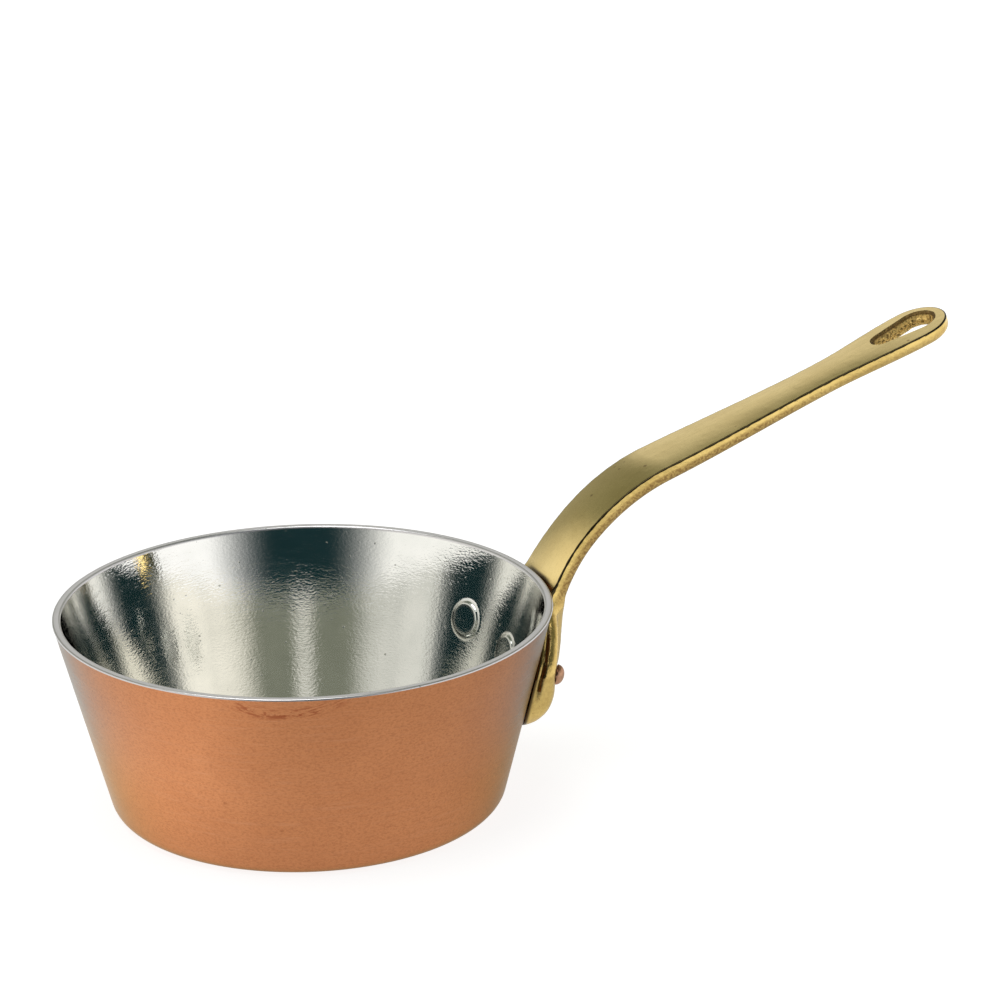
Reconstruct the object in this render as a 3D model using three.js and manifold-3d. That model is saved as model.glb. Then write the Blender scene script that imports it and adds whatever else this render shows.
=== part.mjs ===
// A small splayed copper pan, tinned inside, with a cast brass handle on three rivets.
// Millimetres, +Z up. The origin is the centre of the base's underside and the handle points along +X.

import * as THREE from 'three';
import { mergeVertices } from 'three/addons/utils/BufferGeometryUtils.js';
import Module from 'manifold-3d';

const wasm = await Module();
wasm.setup();
const { degToRad } = THREE.MathUtils;

// The pan
const RIM_RADIUS = 61.8; // over the outside of the rim
const PAN_HEIGHT = 51; // from the table to the top of the rim
const WALL_LEAN = degToRad(14.5); // the wall's splay from upright
const BASE_CORNER_RADIUS = 4.8; // outside, between the wall and the base
const COPPER_THICKNESS = 1.5;
const TIN_THICKNESS = 0.3;
const RIM_CHAMFER = 0.2; // on both edges of the tinned rim

// Clearances
const BOND_GAP = 0.1; // between the tin and what it covers
const SEAT_GAP = 0.3; // between pieces that bear on each other

// The rivets
const SIDE_RIVET_SPREAD = 19.4; // sideways from the handle's middle plane
const SIDE_RIVET_DEPTH = 18.5; // below the rim, at the inside of the wall
const CENTRE_RIVET_DEPTH = 21.5;
const SHANK_RADIUS = 1.9;
const INNER_HEAD_RADIUS = 4.4;
const INNER_HEAD_FLAT_RADIUS = 3.5;
const INNER_HEAD_HEIGHT = 1.1;
const OUTER_HEAD_RADIUS = 2.6;
const OUTER_HEAD_HEIGHT = 2;
const OUTER_HEAD_SINK = 0.5; // how far its flat seat is cut into the pad

// The handle's pad
const PAD_THICKNESS = 6.6; // at the side rivets' depth, in the handle's middle plane
const PAD_FACE_LEAN = degToRad(7); // of the outer face from upright, the same way as the wall
const PAD_CROWN_OFFSET = 10; // from the pan's axis to the axis of the pad's round outer face
const PAD_SIDE_MARGIN = 6; // past the side rivets
const PAD_FOOT = 11.4; // below the centre rivet
const PAD_FOOT_RADIUS = 10; // where the outer face rounds in to the foot
const PAD_CORNER_RADIUS = 7; // of the outline, at the foot
const PAD_TOP_DEPTH = 9; // below the rim, behind the neck
const FLARE_TOP_DEPTH = 3; // below the rim, where the neck starts to flare out to the pad's full width

// The handle's neck, bend, grip and hanging loop
const NECK_RIM_GAP = 3.3; // between the rim and the neck's top face
const NECK_SLOPE = degToRad(59);
const NECK_SINK = 16; // how far the neck runs down inside the pad
const BEND_RADIUS = 56.5; // of the top face
const GRIP_SLOPE = degToRad(18);
const GRIP_SWEEP_RADIUS = 2700; // the grip sweeps up very slightly towards the loop
const HANDLE_REACH = 117; // level, from the rim to the tip
const ROOT_WIDTH = 20.8;
const NECK_WIDTH = 17.1;
const NECK_LENGTH = 12; // along the handle, from the rim's height to where the root has narrowed
const WAIST_WIDTH = 12.9;
const WAIST_FROM_TIP = 38;
const LOOP_WIDTH = 17.6;
const TIP_END_WIDTH = 1.2; // the short flat that closes the half-round tip
const ROOT_THICKNESS = 9.5; // at the lower end of the neck, where it runs out in the pad
const NECK_THICKNESS = 4.6; // above the rim
const TIP_THICKNESS = 3.5;
const TOP_EDGE_CHAMFER = 0.35;
const UNDERSIDE_RADIUS = 2;
const LOOP_RIM = 2.9; // metal left between the hole and the tip
const HOLE_LENGTH = 17.6;
const HOLE_WIDTH = 9.2; // at the wide end, towards the tip
const HOLE_NARROW_RADIUS = 2.6;
const HOLE_SIDE_SHIFT = 0.8; // the cast hole sits a little off the middle

// How finely round shapes are divided
const PAN_SEGMENTS = 96;
const RIVET_SEGMENTS = 24;
const CORNER_STEPS = 5;
const UNDERSIDE_STEPS = 3;
const OUTLINE_SEGMENTS = 10; // on each curve of a flat outline
const RING_SPACING = 3; // between sections along the handle
const TIP_STEPS = 9;
const MERGE_DISTANCE = 1e-4; // points closer than this are one point

// Solids and geometry

/** A closed solid from a geometry, with shared vertices merged and collapsed faces dropped. */
function solid(geometry) {
  const bare = new THREE.BufferGeometry();
  bare.setAttribute('position', geometry.getAttribute('position').clone());
  bare.setIndex(geometry.getIndex());
  const merged = mergeVertices(bare, MERGE_DISTANCE);
  const index = merged.getIndex().array;
  const triVerts = [];
  for (let i = 0; i < index.length; i += 3) {
    const [a, b, c] = index.slice(i, i + 3);
    if (a !== b && b !== c && c !== a) triVerts.push(a, b, c);
  }
  const vertProperties = new Float32Array(merged.getAttribute('position').array);
  const mesh = new wasm.Mesh({ numProp: 3, vertProperties, triVerts: new Uint32Array(triVerts) });
  return new wasm.Manifold(mesh);
}

function geometryOf(manifold) {
  const mesh = manifold.getMesh();
  const geometry = new THREE.BufferGeometry();
  geometry.setAttribute('position', new THREE.BufferAttribute(mesh.vertProperties, 3));
  geometry.setIndex(new THREE.BufferAttribute(mesh.triVerts, 1));
  return geometry;
}

/** A solid of revolution about +Z from [radius, height] pairs that start and end on the axis. */
function turned(profile, segments) {
  const points = profile.map(([radius, height]) => new THREE.Vector2(radius, height));
  return new THREE.LatheGeometry(points, segments).rotateX(Math.PI / 2);
}

/** A prism along +Z from a flat outline. */
function extruded(outline, depth) {
  const options = { depth, bevelEnabled: false, curveSegments: OUTLINE_SEGMENTS };
  return new THREE.ExtrudeGeometry(outline, options);
}

/** Points on a quarter-turn or other arc, as [radius, height] pairs, both ends included. */
function arc(x, y, radius, from, to, steps = CORNER_STEPS) {
  const points = [];
  for (let i = 0; i <= steps; i += 1) {
    const angle = from + ((to - from) * i) / steps;
    points.push([x + radius * Math.cos(angle), y + radius * Math.sin(angle)]);
  }
  return points;
}

// The pan's wall

/** Radius of the surface that lies `inset` inside the pan's outer face, at a height on the splayed wall. */
function wallRadius(height, inset) {
  return RIM_RADIUS - (PAN_HEIGHT - height) * Math.tan(WALL_LEAN) - inset / Math.cos(WALL_LEAN);
}

/** From the axis along the base, round the corner and up the wall, `inset` inside the pan's outer face. */
function wallLine(inset, top) {
  const cornerHeight = BASE_CORNER_RADIUS;
  const cornerCentre = wallRadius(cornerHeight, BASE_CORNER_RADIUS);
  const corner = arc(cornerCentre, cornerHeight, BASE_CORNER_RADIUS - inset, -Math.PI / 2, -WALL_LEAN);
  return [[0, inset], ...corner, [wallRadius(top, inset), top]];
}

const COPPER_TOP = PAN_HEIGHT - TIN_THICKNESS - BOND_GAP;
const TIN_BACK_INSET = COPPER_THICKNESS + BOND_GAP;
const TIN_FACE_INSET = TIN_BACK_INSET + TIN_THICKNESS;

function copperShell() {
  const outside = wallLine(0, COPPER_TOP);
  const inside = wallLine(COPPER_THICKNESS, COPPER_TOP);
  return turned([...outside, ...inside.reverse()], PAN_SEGMENTS);
}

/** The tin from the base up the wall, with a lip that caps the copper's edge. */
function tinShell() {
  const lipBottom = COPPER_TOP + BOND_GAP;
  const back = wallLine(TIN_BACK_INSET, lipBottom);
  const face = wallLine(TIN_FACE_INSET, PAN_HEIGHT - RIM_CHAMFER);
  const outerEdge = wallRadius(PAN_HEIGHT - RIM_CHAMFER, 0);
  const innerEdge = wallRadius(PAN_HEIGHT - RIM_CHAMFER, TIN_FACE_INSET);
  const lip = [
    [wallRadius(lipBottom, 0), lipBottom],
    [outerEdge, PAN_HEIGHT - RIM_CHAMFER],
    [outerEdge - RIM_CHAMFER, PAN_HEIGHT],
    [innerEdge + RIM_CHAMFER, PAN_HEIGHT],
  ];
  return turned([...back, ...lip, ...face.reverse()], PAN_SEGMENTS);
}

/** Everything inside the pan's outer face, grown by the seat gap, to trim what bears on the wall. */
function wallClearance() {
  const top = PAN_HEIGHT + SEAT_GAP;
  return turned([...wallLine(-SEAT_GAP, top), [0, top]], PAN_SEGMENTS);
}

// The rivets

const PAD_FACE_X = wallRadius(PAN_HEIGHT - SIDE_RIVET_DEPTH, 0) + PAD_THICKNESS;

/** Radius of the pad's round outer face about its own axis, at a height. */
function padFaceRadius(height) {
  const rise = height - (PAN_HEIGHT - SIDE_RIVET_DEPTH);
  return PAD_FACE_X - PAD_CROWN_OFFSET + rise * Math.tan(PAD_FACE_LEAN);
}

/** Where a rivet starts, on the copper's inner face, which way it points, and how far its outer seat is. */
function rivetPlace(spread, depth) {
  const height = PAN_HEIGHT - depth;
  const radius = wallRadius(height, COPPER_THICKNESS);
  const turn = Math.asin(spread / radius);
  const start = new THREE.Vector3(radius * Math.cos(turn), spread, height);
  const level = Math.cos(WALL_LEAN);
  const axis = new THREE.Vector3(level * Math.cos(turn), level * Math.sin(turn), -Math.sin(WALL_LEAN));
  // The pad's outer face is a cone, so its distance along the axis is the root of a quadratic.
  const growth = axis.z * Math.tan(PAD_FACE_LEAN);
  const across = start.x - PAD_CROWN_OFFSET;
  const faceRadius = padFaceRadius(height);
  const a = axis.x ** 2 + axis.y ** 2 - growth ** 2;
  const b = axis.x * across + axis.y * start.y - growth * faceRadius;
  const c = across ** 2 + start.y ** 2 - faceRadius ** 2;
  const face = (-b + Math.sqrt(b * b - a * c)) / a;
  const turnToAxis = new THREE.Quaternion().setFromUnitVectors(new THREE.Vector3(0, 0, 1), axis);
  return { start, turnToAxis, seat: face - OUTER_HEAD_SINK };
}

const RIVETS = {
  rivet_left: rivetPlace(SIDE_RIVET_SPREAD, SIDE_RIVET_DEPTH),
  rivet_centre: rivetPlace(0, CENTRE_RIVET_DEPTH),
  rivet_right: rivetPlace(-SIDE_RIVET_SPREAD, SIDE_RIVET_DEPTH),
};

/** The rivet along +Z, with height 0 on the copper's inner face. */
function rivetGeometry(seat) {
  const innerSeat = -SEAT_GAP;
  const innerTop = innerSeat - INNER_HEAD_HEIGHT;
  const outerSeat = seat + SEAT_GAP;
  const dome = [];
  for (let i = 0; i <= CORNER_STEPS; i += 1) {
    const angle = (i / CORNER_STEPS) * (Math.PI / 2);
    const radius = i === CORNER_STEPS ? 0 : OUTER_HEAD_RADIUS * Math.cos(angle);
    dome.push([radius, outerSeat + OUTER_HEAD_HEIGHT * Math.sin(angle)]);
  }
  const profile = [
    [0, innerTop],
    [INNER_HEAD_FLAT_RADIUS, innerTop],
    [INNER_HEAD_RADIUS, innerSeat],
    [SHANK_RADIUS, innerSeat],
    [SHANK_RADIUS, outerSeat],
    ...dome,
  ];
  return turned(profile, RIVET_SEGMENTS);
}

/** A round plug on a rivet's axis, from the [radius, height] pairs of its side, for cutting or joining. */
function plug(place, side) {
  const profile = [[0, side[0][1]], ...side, [0, side.at(-1)[1]]];
  const matrix = new THREE.Matrix4().compose(place.start, place.turnToAxis, new THREE.Vector3(1, 1, 1));
  return solid(turned(profile, RIVET_SEGMENTS).applyMatrix4(matrix));
}

// The handle

const NECK_TOP = new THREE.Vector2(RIM_RADIUS + NECK_RIM_GAP, PAN_HEIGHT);
const BEND_CENTRE = new THREE.Vector2(
  NECK_TOP.x + BEND_RADIUS * Math.sin(NECK_SLOPE),
  NECK_TOP.y - BEND_RADIUS * Math.cos(NECK_SLOPE),
);
const GRIP_START = new THREE.Vector2(
  BEND_CENTRE.x - BEND_RADIUS * Math.sin(GRIP_SLOPE),
  BEND_CENTRE.y + BEND_RADIUS * Math.cos(GRIP_SLOPE),
);
const BEND_LENGTH = BEND_RADIUS * (NECK_SLOPE - GRIP_SLOPE);
const TIP_SLOPE = Math.asin(
  Math.sin(GRIP_SLOPE) + (RIM_RADIUS + HANDLE_REACH - GRIP_START.x) / GRIP_SWEEP_RADIUS,
);
const TIP_AT = BEND_LENGTH + GRIP_SWEEP_RADIUS * (TIP_SLOPE - GRIP_SLOPE);

/** The middle of the handle's top face, and its slope, at a distance along it from the rim's height. */
function topLine(distance) {
  if (distance < 0) {
    const x = NECK_TOP.x + distance * Math.cos(NECK_SLOPE);
    return { x, z: NECK_TOP.y + distance * Math.sin(NECK_SLOPE), slope: NECK_SLOPE };
  }
  if (distance < BEND_LENGTH) {
    const slope = NECK_SLOPE - distance / BEND_RADIUS;
    const x = BEND_CENTRE.x - BEND_RADIUS * Math.sin(slope);
    return { x, z: BEND_CENTRE.y + BEND_RADIUS * Math.cos(slope), slope };
  }
  const slope = GRIP_SLOPE + (distance - BEND_LENGTH) / GRIP_SWEEP_RADIUS;
  const x = GRIP_START.x + GRIP_SWEEP_RADIUS * (Math.sin(slope) - Math.sin(GRIP_SLOPE));
  return { x, z: GRIP_START.y - GRIP_SWEEP_RADIUS * (Math.cos(slope) - Math.cos(GRIP_SLOPE)), slope };
}

/** Thickness at a distance along the handle: it grows below the rim and tapers to the tip. */
function handleThickness(distance) {
  if (distance < 0) {
    return THREE.MathUtils.lerp(NECK_THICKNESS, ROOT_THICKNESS, (distance / NECK_SINK) ** 2);
  }
  return THREE.MathUtils.lerp(NECK_THICKNESS, TIP_THICKNESS, distance / TIP_AT);
}

/** Width at a distance along the handle: eased from one named width to the next, with a half-round tip. */
function handleWidth(distance) {
  const loopCentre = TIP_AT - LOOP_WIDTH / 2;
  if (distance > loopCentre) {
    const past = Math.min(1, (distance - loopCentre) / (LOOP_WIDTH / 2));
    return LOOP_WIDTH * Math.sqrt(1 - past * past);
  }
  const stations = [
    [-NECK_SINK, ROOT_WIDTH],
    [NECK_LENGTH, NECK_WIDTH],
    [BEND_LENGTH, NECK_WIDTH],
    [TIP_AT - WAIST_FROM_TIP, WAIST_WIDTH],
    [loopCentre, LOOP_WIDTH],
  ];
  const next = Math.max(1, stations.findIndex(([at]) => at >= distance));
  const [fromAt, fromWidth] = stations[next - 1];
  const [toAt, toWidth] = stations[next];
  return THREE.MathUtils.lerp(fromWidth, toWidth, THREE.MathUtils.smoothstep(distance, fromAt, toAt));
}

/** The handle's section as [sideways, up from the top face] pairs: flat on top, round underneath.
 *  Where it is narrow, at the tip, its edges shrink with it. */
function handleSection(width, thickness) {
  const half = width / 2;
  const shrink = Math.min(1, half / (UNDERSIDE_RADIUS + TOP_EDGE_CHAMFER));
  const chamfer = TOP_EDGE_CHAMFER * shrink;
  const round = Math.min(UNDERSIDE_RADIUS * shrink, thickness - chamfer);
  return [
    [-half + chamfer, 0],
    [-half, -chamfer],
    ...arc(round - half, round - thickness, round, -Math.PI, -Math.PI / 2, UNDERSIDE_STEPS),
    ...arc(half - round, round - thickness, round, -Math.PI / 2, 0, UNDERSIDE_STEPS),
    [half, -chamfer],
    [half - chamfer, 0],
  ];
}

/** Distances along the handle at which it has a section: even, then closer round the tip. */
function handleStations() {
  const loopCentre = TIP_AT - LOOP_WIDTH / 2;
  const count = Math.ceil((loopCentre + NECK_SINK) / RING_SPACING);
  const stations = [];
  for (let i = 0; i < count; i += 1) {
    stations.push(-NECK_SINK + ((loopCentre + NECK_SINK) * i) / count);
  }
  const lastTurn = Math.acos(TIP_END_WIDTH / LOOP_WIDTH);
  for (let i = 0; i <= TIP_STEPS; i += 1) {
    stations.push(loopCentre + (LOOP_WIDTH / 2) * Math.sin((lastTurn * i) / TIP_STEPS));
  }
  return stations;
}

/** The neck, bend and grip as one lofted bar, without its hole. */
function barGeometry() {
  const positions = [];
  const index = [];
  let ringSize = 0;
  const stations = handleStations();
  for (const distance of stations) {
    const { x, z, slope } = topLine(distance);
    const ring = handleSection(handleWidth(distance), handleThickness(distance));
    ringSize = ring.length;
    for (const [side, up] of ring) {
      positions.push(x - up * Math.sin(slope), side, z + up * Math.cos(slope));
    }
  }
  for (let r = 0; r + 1 < stations.length; r += 1) {
    for (let i = 0; i < ringSize; i += 1) {
      const j = (i + 1) % ringSize;
      const [a, b] = [r * ringSize + i, r * ringSize + j];
      const [c, d] = [a + ringSize, b + ringSize];
      index.push(a, b, d, a, d, c);
    }
  }
  const last = (stations.length - 1) * ringSize;
  for (let i = 1; i + 1 < ringSize; i += 1) {
    index.push(0, i + 1, i, last, last + i, last + i + 1);
  }
  const geometry = new THREE.BufferGeometry();
  geometry.setAttribute('position', new THREE.Float32BufferAttribute(positions, 3));
  geometry.setIndex(index);
  return geometry;
}

/** The hanging hole's outline, pear-shaped, as a prism square to the grip. */
function holeGeometry() {
  const wide = HOLE_WIDTH / 2;
  const wideAt = TIP_AT - LOOP_RIM - wide;
  const narrowAt = TIP_AT - LOOP_RIM - HOLE_LENGTH + HOLE_NARROW_RADIUS;
  const lean = Math.asin((wide - HOLE_NARROW_RADIUS) / (wideAt - narrowAt));
  const tangent = Math.PI / 2 + lean;
  const outline = new THREE.Shape();
  outline.absarc(0, 0, wide, -tangent, tangent, false);
  outline.absarc(narrowAt - wideAt, 0, HOLE_NARROW_RADIUS, tangent, 2 * Math.PI - tangent, false);
  const depth = 2 * LOOP_WIDTH; // passes right through
  const prism = extruded(outline, depth);
  const { x, z, slope } = topLine(wideAt);
  const along = new THREE.Vector3(Math.cos(slope), 0, Math.sin(slope));
  const side = new THREE.Vector3(0, 1, 0);
  const up = new THREE.Vector3().crossVectors(along, side);
  const matrix = new THREE.Matrix4().makeBasis(along, side, up);
  matrix.setPosition(new THREE.Vector3(x, HOLE_SIDE_SHIFT, z).addScaledVector(up, -depth / 2));
  return prism.applyMatrix4(matrix);
}

/** The pad's round outer face and foot, as a turned block on its own upright axis. */
function padCrownGeometry() {
  const top = PAN_HEIGHT;
  const bottom = PAN_HEIGHT - CENTRE_RIVET_DEPTH - PAD_FOOT;
  const footHeight = bottom + PAD_FOOT_RADIUS;
  const footCentre = padFaceRadius(footHeight) - PAD_FOOT_RADIUS / Math.cos(PAD_FACE_LEAN);
  const foot = arc(footCentre, footHeight, PAD_FOOT_RADIUS, -Math.PI / 2, -PAD_FACE_LEAN);
  const profile = [[0, bottom], ...foot, [padFaceRadius(top), top], [0, top]];
  return turned(profile, PAN_SEGMENTS).translate(PAD_CROWN_OFFSET, 0, 0);
}

/** The pad's outline seen from the handle's side of the pan, as a prism along +X. */
function padOutlineGeometry() {
  const half = SIDE_RIVET_SPREAD + PAD_SIDE_MARGIN;
  const neck = ROOT_WIDTH / 2;
  const foot = -CENTRE_RIVET_DEPTH - PAD_FOOT;
  const corner = PAD_CORNER_RADIUS;
  const widest = -SIDE_RIVET_DEPTH;
  const inner = neck - TOP_EDGE_CHAMFER;
  const flareMiddle = (widest - FLARE_TOP_DEPTH) / 2;
  const outline = new THREE.Shape();
  outline.moveTo(-inner, -PAD_TOP_DEPTH);
  outline.lineTo(-inner, -FLARE_TOP_DEPTH);
  outline.bezierCurveTo(-inner, flareMiddle, -half, flareMiddle, -half, widest);
  outline.lineTo(-half, foot + corner);
  outline.absarc(corner - half, foot + corner, corner, Math.PI, 1.5 * Math.PI, false);
  outline.absarc(half - corner, foot + corner, corner, -0.5 * Math.PI, 0, false);
  outline.lineTo(half, widest);
  outline.bezierCurveTo(half, flareMiddle, inner, flareMiddle, inner, -FLARE_TOP_DEPTH);
  outline.lineTo(inner, -PAD_TOP_DEPTH);
  const prism = extruded(outline, PAD_FACE_X);
  const matrix = new THREE.Matrix4().makeBasis(
    new THREE.Vector3(0, 1, 0),
    new THREE.Vector3(0, 0, 1),
    new THREE.Vector3(1, 0, 0),
  );
  matrix.setPosition(PAD_CROWN_OFFSET, 0, PAN_HEIGHT);
  return prism.applyMatrix4(matrix);
}

// The sub-parts

function copperBody() {
  let body = solid(copperShell());
  for (const place of Object.values(RIVETS)) {
    const hole = SHANK_RADIUS + SEAT_GAP;
    body = body.subtract(plug(place, [[hole, -COPPER_THICKNESS], [hole, 2 * COPPER_THICKNESS]]));
  }
  return geometryOf(body);
}

/** The tin skin, raised into a low boss over each rivet's inner head. */
function tinLining() {
  const headTop = SEAT_GAP + INNER_HEAD_HEIGHT;
  const cover = BOND_GAP + TIN_THICKNESS;
  const backLine = wallLine(TIN_BACK_INSET, COPPER_TOP);
  const withinBack = solid(turned([...backLine, [0, COPPER_TOP]], PAN_SEGMENTS));
  let lining = solid(tinShell());
  for (const place of Object.values(RIVETS)) {
    const boss = plug(place, [
      [INNER_HEAD_FLAT_RADIUS + cover, -headTop - cover],
      [INNER_HEAD_RADIUS + 2 * cover, 0],
    ]);
    const pocket = plug(place, [
      [INNER_HEAD_FLAT_RADIUS + BOND_GAP, -headTop - BOND_GAP],
      [INNER_HEAD_RADIUS + BOND_GAP, -SEAT_GAP],
      [INNER_HEAD_RADIUS + BOND_GAP, 0],
    ]);
    lining = lining.add(boss.intersect(withinBack)).subtract(pocket);
  }
  return geometryOf(lining);
}

function brassHandle() {
  const pad = solid(padCrownGeometry()).intersect(solid(padOutlineGeometry()));
  let handle = solid(barGeometry()).subtract(solid(holeGeometry())).add(pad);
  handle = handle.subtract(solid(wallClearance()));
  for (const place of Object.values(RIVETS)) {
    const hole = SHANK_RADIUS + SEAT_GAP;
    const seatCut = OUTER_HEAD_RADIUS + SEAT_GAP;
    const outside = place.seat + PAD_THICKNESS;
    handle = handle.subtract(plug(place, [[hole, 0], [hole, outside]]));
    handle = handle.subtract(plug(place, [[seatCut, place.seat], [seatCut, outside]]));
  }
  return geometryOf(handle);
}

const COPPER = { color: 0xc07a52, metalness: 1, roughness: 0.38 };
const TIN = { color: 0xc9cdc8, metalness: 1, roughness: 0.25 };
const BRASS = { color: 0xb49a5c, metalness: 1, roughness: 0.32 };
const RIVET_COPPER = { color: 0xb8704e, metalness: 1, roughness: 0.4 };

function part(name, geometry, finish) {
  geometry.computeVertexNormals();
  const mesh = new THREE.Mesh(geometry, new THREE.MeshStandardMaterial(finish));
  mesh.name = name;
  return mesh;
}

const pan = new THREE.Group();
pan.add(part('copper_body', copperBody(), COPPER));
pan.add(part('tin_lining', tinLining(), TIN));
pan.add(part('brass_handle', brassHandle(), BRASS));
for (const [name, place] of Object.entries(RIVETS)) {
  const rivet = part(name, rivetGeometry(place.seat), RIVET_COPPER);
  rivet.position.copy(place.start);
  rivet.quaternion.copy(place.turnToAxis);
  pan.add(rivet);
}

export default pan;
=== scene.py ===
import math

import bmesh
import bpy
import numpy as np
from mathutils import Matrix, Vector


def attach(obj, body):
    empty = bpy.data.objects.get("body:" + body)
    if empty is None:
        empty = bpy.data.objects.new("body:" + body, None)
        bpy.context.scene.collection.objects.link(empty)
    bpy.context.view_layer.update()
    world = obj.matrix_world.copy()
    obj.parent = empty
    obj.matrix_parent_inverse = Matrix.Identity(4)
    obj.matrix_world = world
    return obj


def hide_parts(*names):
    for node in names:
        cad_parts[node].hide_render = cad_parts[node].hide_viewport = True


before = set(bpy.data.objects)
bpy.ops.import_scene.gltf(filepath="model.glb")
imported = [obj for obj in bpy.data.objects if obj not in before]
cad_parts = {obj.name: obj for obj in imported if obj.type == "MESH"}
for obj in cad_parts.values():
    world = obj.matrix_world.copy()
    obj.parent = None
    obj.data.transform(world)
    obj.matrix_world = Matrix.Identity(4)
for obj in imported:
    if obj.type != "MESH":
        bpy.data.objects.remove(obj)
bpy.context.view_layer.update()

# Sizes are in millimetres, as in the part's source, and become metres when a mesh is made.
MM = 0.001

# The pan
RIM_RADIUS = 61.8
PAN_HEIGHT = 51.0
WALL_LEAN = math.radians(14.5)
BASE_CORNER_RADIUS = 4.8
COPPER_THICKNESS = 1.5
TIN_THICKNESS = 0.3
BOND_GAP = 0.1
TIN_BACK = COPPER_THICKNESS + BOND_GAP  # in from the pan's outer face
TIN_FACE = TIN_BACK + TIN_THICKNESS
COPPER_TOP = PAN_HEIGHT - TIN_THICKNESS - BOND_GAP
TIN_LIP = COPPER_TOP + BOND_GAP  # height of the tin's underside over the rim
RIM_ROUND = 0.45  # on both edges of the tinned rim

# How finely the pan is meshed: the tin has more rows and columns over the rivets
PAN_SEGMENTS = 256
BASE_ROWS = (0.0, 0.3, 0.6, 0.9)  # shares of the way out to the base's corner
CORNER_STEPS = 10
BACK_CORNER_STEPS = 4
WALL_START = 8.0  # height of the wall's first row
COPPER_ROWS = 9
TIN_ROWS = 6
TIN_COLUMNS = 160
TIN_BACK_ROWS = 5
FINE_HEIGHTS = (22.5, 39.5)
FINE_ROWS = 84
FINE_TURN = math.radians(31)  # to each side of the handle
FINE_COLUMNS = 291
RIM_STRIP = 0.15  # width of the last row below the rim's round
RIM_STEPS = 4

# The rivets: sideways from the handle, below the rim, and out to the seat of the outer head
RIVETS = [(19.4, 18.5, 6.911), (0.0, 21.5, 8.066), (-19.4, 18.5, 6.911)]
SEAT_GAP = 0.3  # between the wall and the handle's pad
SHANK_RADIUS = 1.9
OUTER_HEAD_RADIUS = 2.6
OUTER_HEAD_HEIGHT = 2.0
HAMMERED_SHARE = 0.55  # how far the head's shape goes from a plain dome to a hammered one
HAMMERED_POWER = 0.8  # the lower, the fuller the hammered one is
HEAD_POINTS = 9
RIVET_SEGMENTS = 48
RIVET_REACH = 5.0  # how far in from the wall a rivet can change the tin

# The tin over a rivet's inner head
BOSS_HEIGHT = 0.8
BOSS_FLAT = 3.8  # radius of its flat middle
BOSS_FOOT = 4.5  # radius where its rounded edge meets the wall
BOSS_FILLET = 5.8  # radius where the tin's fillet runs out
BOSS_FILLET_SHARE = 0.3  # of its height, that the fillet climbs
BOSS_DULL = 0.9  # how far its dull edge reaches onto the flat middle

# The handle's pad; depths are below the rim, pairs of them are where a change starts and ends
PAD_FOOT_DEPTH = 32.9
PAD_THICKNESS = 6.6
PAD_FACE_LEAN = math.radians(7)
PAD_CROWN_OFFSET = 10.0  # from the pan's axis to that of the pad's round outer face
PAD_HALF_WIDTH = 25.4
PAD_WIDEST_DEPTH = 18.5
PAD_CORNER_RADIUS = 6.0
PAD_FOOT_RADIUS = 10.3
PAD_EDGE_ROUND = 1.7
PAD_BLEND = 1.2  # width of the soft join between the pad and the neck's rib
PAD_GROOVE = 0.7  # depth of the cast groove along each side of the pad
PAD_GROOVE_AT = 1.9  # from the wall
PAD_GROOVE_WIDTH = 0.4
GROOVE_STARTS = (8.0, 13.0)
GROOVE_ENDS = (22.0, 27.0)
FLARE_TOP_DEPTH = 3.0
FLARE_OVERRUN = 1.5  # how far past the widest depth the flare would reach the full width
ROOT_FILL = 0.06  # how fast the neck closes on the wall, below the rim
ROOT_BLEND = 0.8
RIB_DEPTH = 12.0  # where the neck has run out into the pad, as a rib
RIB_INSET = 1.2
RIB_FALL = 0.35  # how steeply the rib's sides fall to the pad
HUG_DEPTHS = (5.0, 11.0)  # the inner face bends to the wall
FILED_DEPTHS = (2.0, 8.0)  # the filed top face runs out
SPREAD_DEPTHS = (0.0, 6.0)  # the outer face spreads from the neck's to the pad's
LEAST_THICKNESS = 0.15
SOFT_EDGE = 0.3  # what the neck's outer edge and the pad's inner edge are rounder by
ROUND_SHARE = 0.6  # of the room at the side, for the outer edge at most
EDGE_SHARE = 0.3  # of it, for the inner edge at most
OUTER_LINE = [  # depth below the rim and distance from the pan's axis of the handle's outer face
    (2.37, 69.04), (5.0, 67.85), (9.0, 66.6), (14.0, 65.95), (18.5, 65.55), (23.0, 64.65),
    (27.0, 62.6), (30.0, 59.9), (32.0, 56.9), (32.9, 53.9),
]

# The handle's neck, bend, grip and loop; places along it are measured on its top face, from the rim's height
NECK_TOP_X = RIM_RADIUS + 3.3
NECK_SLOPE = math.radians(59)
GRIP_SLOPE = math.radians(18)
BEND_RADIUS = 56.5
BEND_LENGTH = BEND_RADIUS * (NECK_SLOPE - GRIP_SLOPE)
GRIP_SWEEP_RADIUS = 2700.0
TIP_AT = 127.893
ROOT_AT = -16.0  # where the neck has the root's width
ROOT_WIDTH = 20.8
NECK_WIDTH = 17.1
NECK_LENGTH = 12.0
WAIST_WIDTH = 12.9
WAIST_FROM_TIP = 38.0
LOOP_WIDTH = 17.6
LOOP_AT = TIP_AT - LOOP_WIDTH / 2
NECK_THICKNESS = 4.6
TIP_THICKNESS = 3.5
TOP_EDGE = 0.28  # rounding of the top face's edges
EDGE_SWAY = 0.05  # how unevenly they are filed
EDGE_WAVES = [(1.31, 1, 1.0), (2.9, 2, 0.7), (0.47, 0, 0.5)]  # each wave's pace, shift to a side and height
EDGE_WAVES_START = -40.0
TOP_LIFT = (0.4, 0.25)  # of the top face's middle, at the neck and at the tip
LIFT_ALONG = (10.0, 70.0)
TOP_DROP = (0.7, 0.34, 0.12)  # of the top face's edges below its middle, at the neck, grip and loop
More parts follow.
